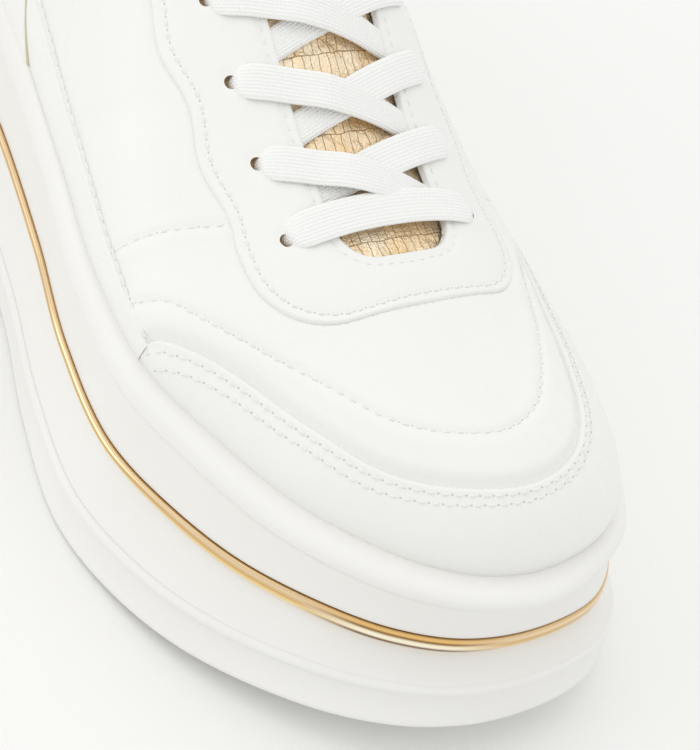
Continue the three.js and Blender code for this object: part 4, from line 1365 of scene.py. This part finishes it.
def stitch_row(name, line, normals, pitch, thread=0.26):
    """Thread stitches along a line, each a small capsule that arches out of its two needle holes,
    and a flat darker disc at each hole: painted shade for the hole."""
    run = run_along(line)
    count = max(1, int(run[-1] / pitch))
    step = run[-1] / count
    u = np.linspace(-0.5, 0.5, 7)
    at = (np.arange(count) + 0.5)[:, None] * step + u[None, :] * step * STITCH_SHARE
    centre, normal = at_run(at, run, line), unit(at_run(at, run, normals))
    side = unit(np.cross(unit(np.gradient(centre, axis=1)), normal))
    arch = 0.03 + thread * 0.5 - (thread * 1.9) * np.abs(2 * u) ** 3.0
    centre = centre + normal * arch[None, :, None]
    sides = 6
    turn = np.linspace(0, 2 * math.pi, sides, endpoint=False)
    fat = thread * np.array([0.55, 0.9, 1.0, 1.0, 1.0, 0.9, 0.55])
    points = centre[:, :, None] + circle(side, normal, turn) * fat[None, :, None, None]
    one = solid_outwards(points[0].reshape(-1, 3), grid_faces(len(fat), sides, close_columns=True))
    faces = join_copies(len(fat) * sides, one, count)
    add_piece(name, points.reshape(-1, 3), faces, THREAD, "white_leather")
    # A flat disc at each needle hole, coloured as painted shade for the hole.
    at = np.arange(count + 1) * step
    up = unit(at_run(at, run, normals))
    ahead = unit(at_run(at + 0.3, run, line) - at_run(at - 0.3, run, line))
    oval = circle(ahead * 0.28, unit(np.cross(ahead, up)) * 0.2, turn)[:, None]
    middle = (at_run(at, run, line) + up * 0.05)[:, None, None]
    rim = np.array([0.02, 0.6, 1.0])
    disc = middle + oval * rim[None, :, None, None]
    one = grid_faces(len(rim), sides, close_columns=True)
    a, b, d = (disc[0].reshape(-1, 3)[one[sides + 1, k]] for k in (0, 1, 3))
    if np.dot(np.cross(b - a, d - a), up[0]) < 0:
        one = one[:, ::-1]
    faces = join_copies(len(rim) * sides, one, count + 1)
    add_piece(name + "_holes", disc.reshape(-1, 3), faces, NEEDLE_SHADE, "white_leather")


def offset_plan(plan, distance):
    """A plan line moved sideways, to its right as it runs."""
    along = unit(np.gradient(plan, axis=0))
    return plan + np.stack([along[:, 1], -along[:, 0]], axis=1) * distance


def on_surface(plan, height):
    """The line over plan points, off the last by height (a number or one per point)."""
    point, normal = over(plan)
    height = np.broadcast_to(np.asarray(height, float), len(plan))
    return point + normal * height[:, None], normal


def skin_height(plan):
    """Relief of the upper's own leather over plan points."""
    return relief(*on_last(plan))


def guard_height(plan):
    """Height of the guard's face over plan points, its wrinkles included."""
    point, run, _ = on_last(plan)
    rise = np.linalg.norm(point - foot_at(run), axis=1)
    face = tapered_face(nearest(point, GUARD_LINE), rise, GUARD_THICK, GUARD_SUNK)
    return face + swells(point[:, 0], point[:, 1], GUARD_WRINKLES)


def make_stitching():
    """Rows round the eyestay and the throat, two round the guard, one along each side panel, and the
    toe line and cross seams in the upper itself."""
    outer_side, inner_side = np.linspace(0.02, 1, 300), np.linspace(2, 2.98, 300)
    t = np.concatenate([outer_side, np.linspace(1, 2, 200)[1:], inner_side[1:]])
    inner, outer, reach = throat_to_edge(t)
    outer_row = outer + (inner - outer) * (2.1 / reach)
    inner_row = inner + (outer - inner) * (2.2 / reach)
    stitch_row("eyestay_outer_stitch", *on_surface(outer_row, EYESTAY_FACE - 0.22), 2.5)
    stitch_row("eyestay_throat_stitch", *on_surface(inner_row, EYESTAY_FACE - 0.16), 2.4, thread=0.2)
    for name, distance in (("guard_stitch_a", 1.0), ("guard_stitch_b", 2.3)):
        row = inside_feather(offset_plan(GUARD_PLAN, distance))
        stitch_row(name, *on_surface(row, guard_height(row)), 2.5)
    for side, name in ((-1, "side_stitch_outer"), (1, "side_stitch_inner")):
        row = offset_plan(even(side_seam_plan(side, 124, 202), spacing=0.6), side * 0.25)
        stitch_row(name, *on_surface(row, SIDE_THICK - SIDE_SUNK - 0.12), 2.6, thread=0.17)
    lines = {"toe_line_stitch": TOE_LINE_PLAN, "cross_stitch": CROSS_LINE_PLAN}
    lines["cross_stitch_inner"] = CROSS_INNER_PLAN
    for name, plan in lines.items():
        stitch_row(name, *on_surface(plan, skin_height(plan)), 2.5, thread=0.24)


def tube(name, line, radius, material, slot):
    """A round cord of that radius along a line."""
    along = unit(np.gradient(line, axis=0))
    side = unit(np.cross(along, [0, 0, 1]))
    turn = np.linspace(0, 2 * math.pi, 10, endpoint=False)
    points = line[:, None] + radius * circle(side, np.cross(side, along), turn)
    add_grid(name, points, material, slot, loop=(False, True), solid=True)


def make_piping():
    """Khaki piping on each side where the rear panel overlaps the side panel, from the feather line
    up and back to the collar, half sunk in the leather."""
    for side, name in ((-1, "outer"), (1, "inner")):
        x = np.linspace(136, 90.5, 170)
        line, _ = on_surface(plan_at_rise(side, x, hermite(PIPING_RISE, x)), 0.3)
        line = line[line[:, 2] < collar_height(line[:, 0]) - 0.3]
        tube(f"rear_piping_{name}", even(line, spacing=0.6), 0.32, PIPING, "gold_leather")


# ---------------------------------------------------------------- stage

CAMERA_TARGET = (205.32, 5.07, 25.0)
CAMERA_AZIMUTH, CAMERA_ELEVATION, CAMERA_ROLL = -53.47, 42.49, 30.93
CAMERA_DISTANCE = 400.0
FOCAL_IN_WIDTHS = 2000 / 700


def make_camera():
    """Camera on a sphere round the toe, turned about its own axis by the roll."""
    a, e, r = (math.radians(v) for v in (CAMERA_AZIMUTH, CAMERA_ELEVATION, CAMERA_ROLL))
    back = Vector((math.cos(e) * math.cos(a), math.cos(e) * math.sin(a), math.sin(e)))
    right = (-back).cross(Vector((0, 0, 1))).normalized()
    up = right.cross(-back)
    right, up = math.cos(r) * right + math.sin(r) * up, math.cos(r) * up - math.sin(r) * right
    data = bpy.data.cameras.new("camera")
    data.sensor_fit = "HORIZONTAL"
    data.sensor_width = 36
    data.lens = 36 * FOCAL_IN_WIDTHS
    data.clip_start, data.clip_end = 0.01, 20
    camera = put("camera", data)
    place = Vector(to_frame(CAMERA_TARGET)) + back * CAMERA_DISTANCE / 1000
    camera.matrix_world = Matrix.Translation(place) @ Matrix((right, up, back)).transposed().to_4x4()
    bpy.context.scene.camera = camera


def area_light(name, place, aim, size, power, colour=(1, 1, 1)):
    data = bpy.data.lights.new(name, "AREA")
    data.shape = "RECTANGLE"
    data.size, data.size_y = size
    data.energy = power
    data.color = colour
    light = put(name, data)
    light.location = place
    light.rotation_euler = (Vector(aim) - Vector(place)).to_track_quat("-Z", "Y").to_euler()


def make_stage():
    """Pale floor, an even white room and soft boxes above and on the outer side."""
    size = 6.0
    mesh = bpy.data.meshes.new("floor")
    corners = [(-size, -size, 0), (size, -size, 0), (size, size, 0), (-size, size, 0)]
    mesh.from_pydata(corners, [], [(0, 1, 2, 3)])
    floor_material, tree, shader = new_material("floor_paper", (0.86, 0.86, 0.85), 0.9)
    shader.inputs["Specular IOR Level"].default_value = 0.1
    tint(tree, shader, noise(tree, 6, 2.0), (0.925, 0.925, 0.912), (0.935, 0.935, 0.925))
    mesh.materials.append(floor_material)
    put("floor", mesh)
    world = bpy.data.worlds.new("room")
    bpy.context.scene.world = world
    world.use_nodes = True
    background = world.node_tree.nodes["Background"]
    background.inputs["Color"].default_value = (1.0, 1.0, 0.99, 1)
    background.inputs["Strength"].default_value = 0.87
    area_light("top_box", (-0.25, 0.1, 1.3), (0.05, 0, 0.03), (1.2, 1.2), 2.6, (1.0, 1.0, 0.995))
    area_light("side_box", (-0.5, -1.1, 0.7), (0.05, 0, 0.03), (1.0, 0.8), 2.4, (1.0, 0.995, 0.98))
    bpy.context.scene.view_settings.view_transform = "Standard"


# ---------------------------------------------------------------- the shoe

make_camera()
make_stage()

make_outsole()
make_tread()
make_midsole()
make_strip()
make_lip()
make_insole()

make_collar_and_lining(*make_upper())
overlay_from_feather(
    "toe_guard_skin", GUARD_PLAN, GUARD_THICK, GUARD_SUNK, 70, ("toe_guard",), GUARD_WRINKLES
)
for panel_side, panel_name in ((-1, "outer"), (1, "inner")):
    panel_edge = side_seam_plan(panel_side, 120, 203)
    overlay_from_feather(f"side_panel_{panel_name}", panel_edge, SIDE_THICK, SIDE_SUNK, 24)
make_eyestay()
make_eyelet_walls()
make_tongue()
make_bar()
for crossing in range(EYELETS["rows"] - 1):
    make_crossing(crossing)
make_stitching()
make_piping()
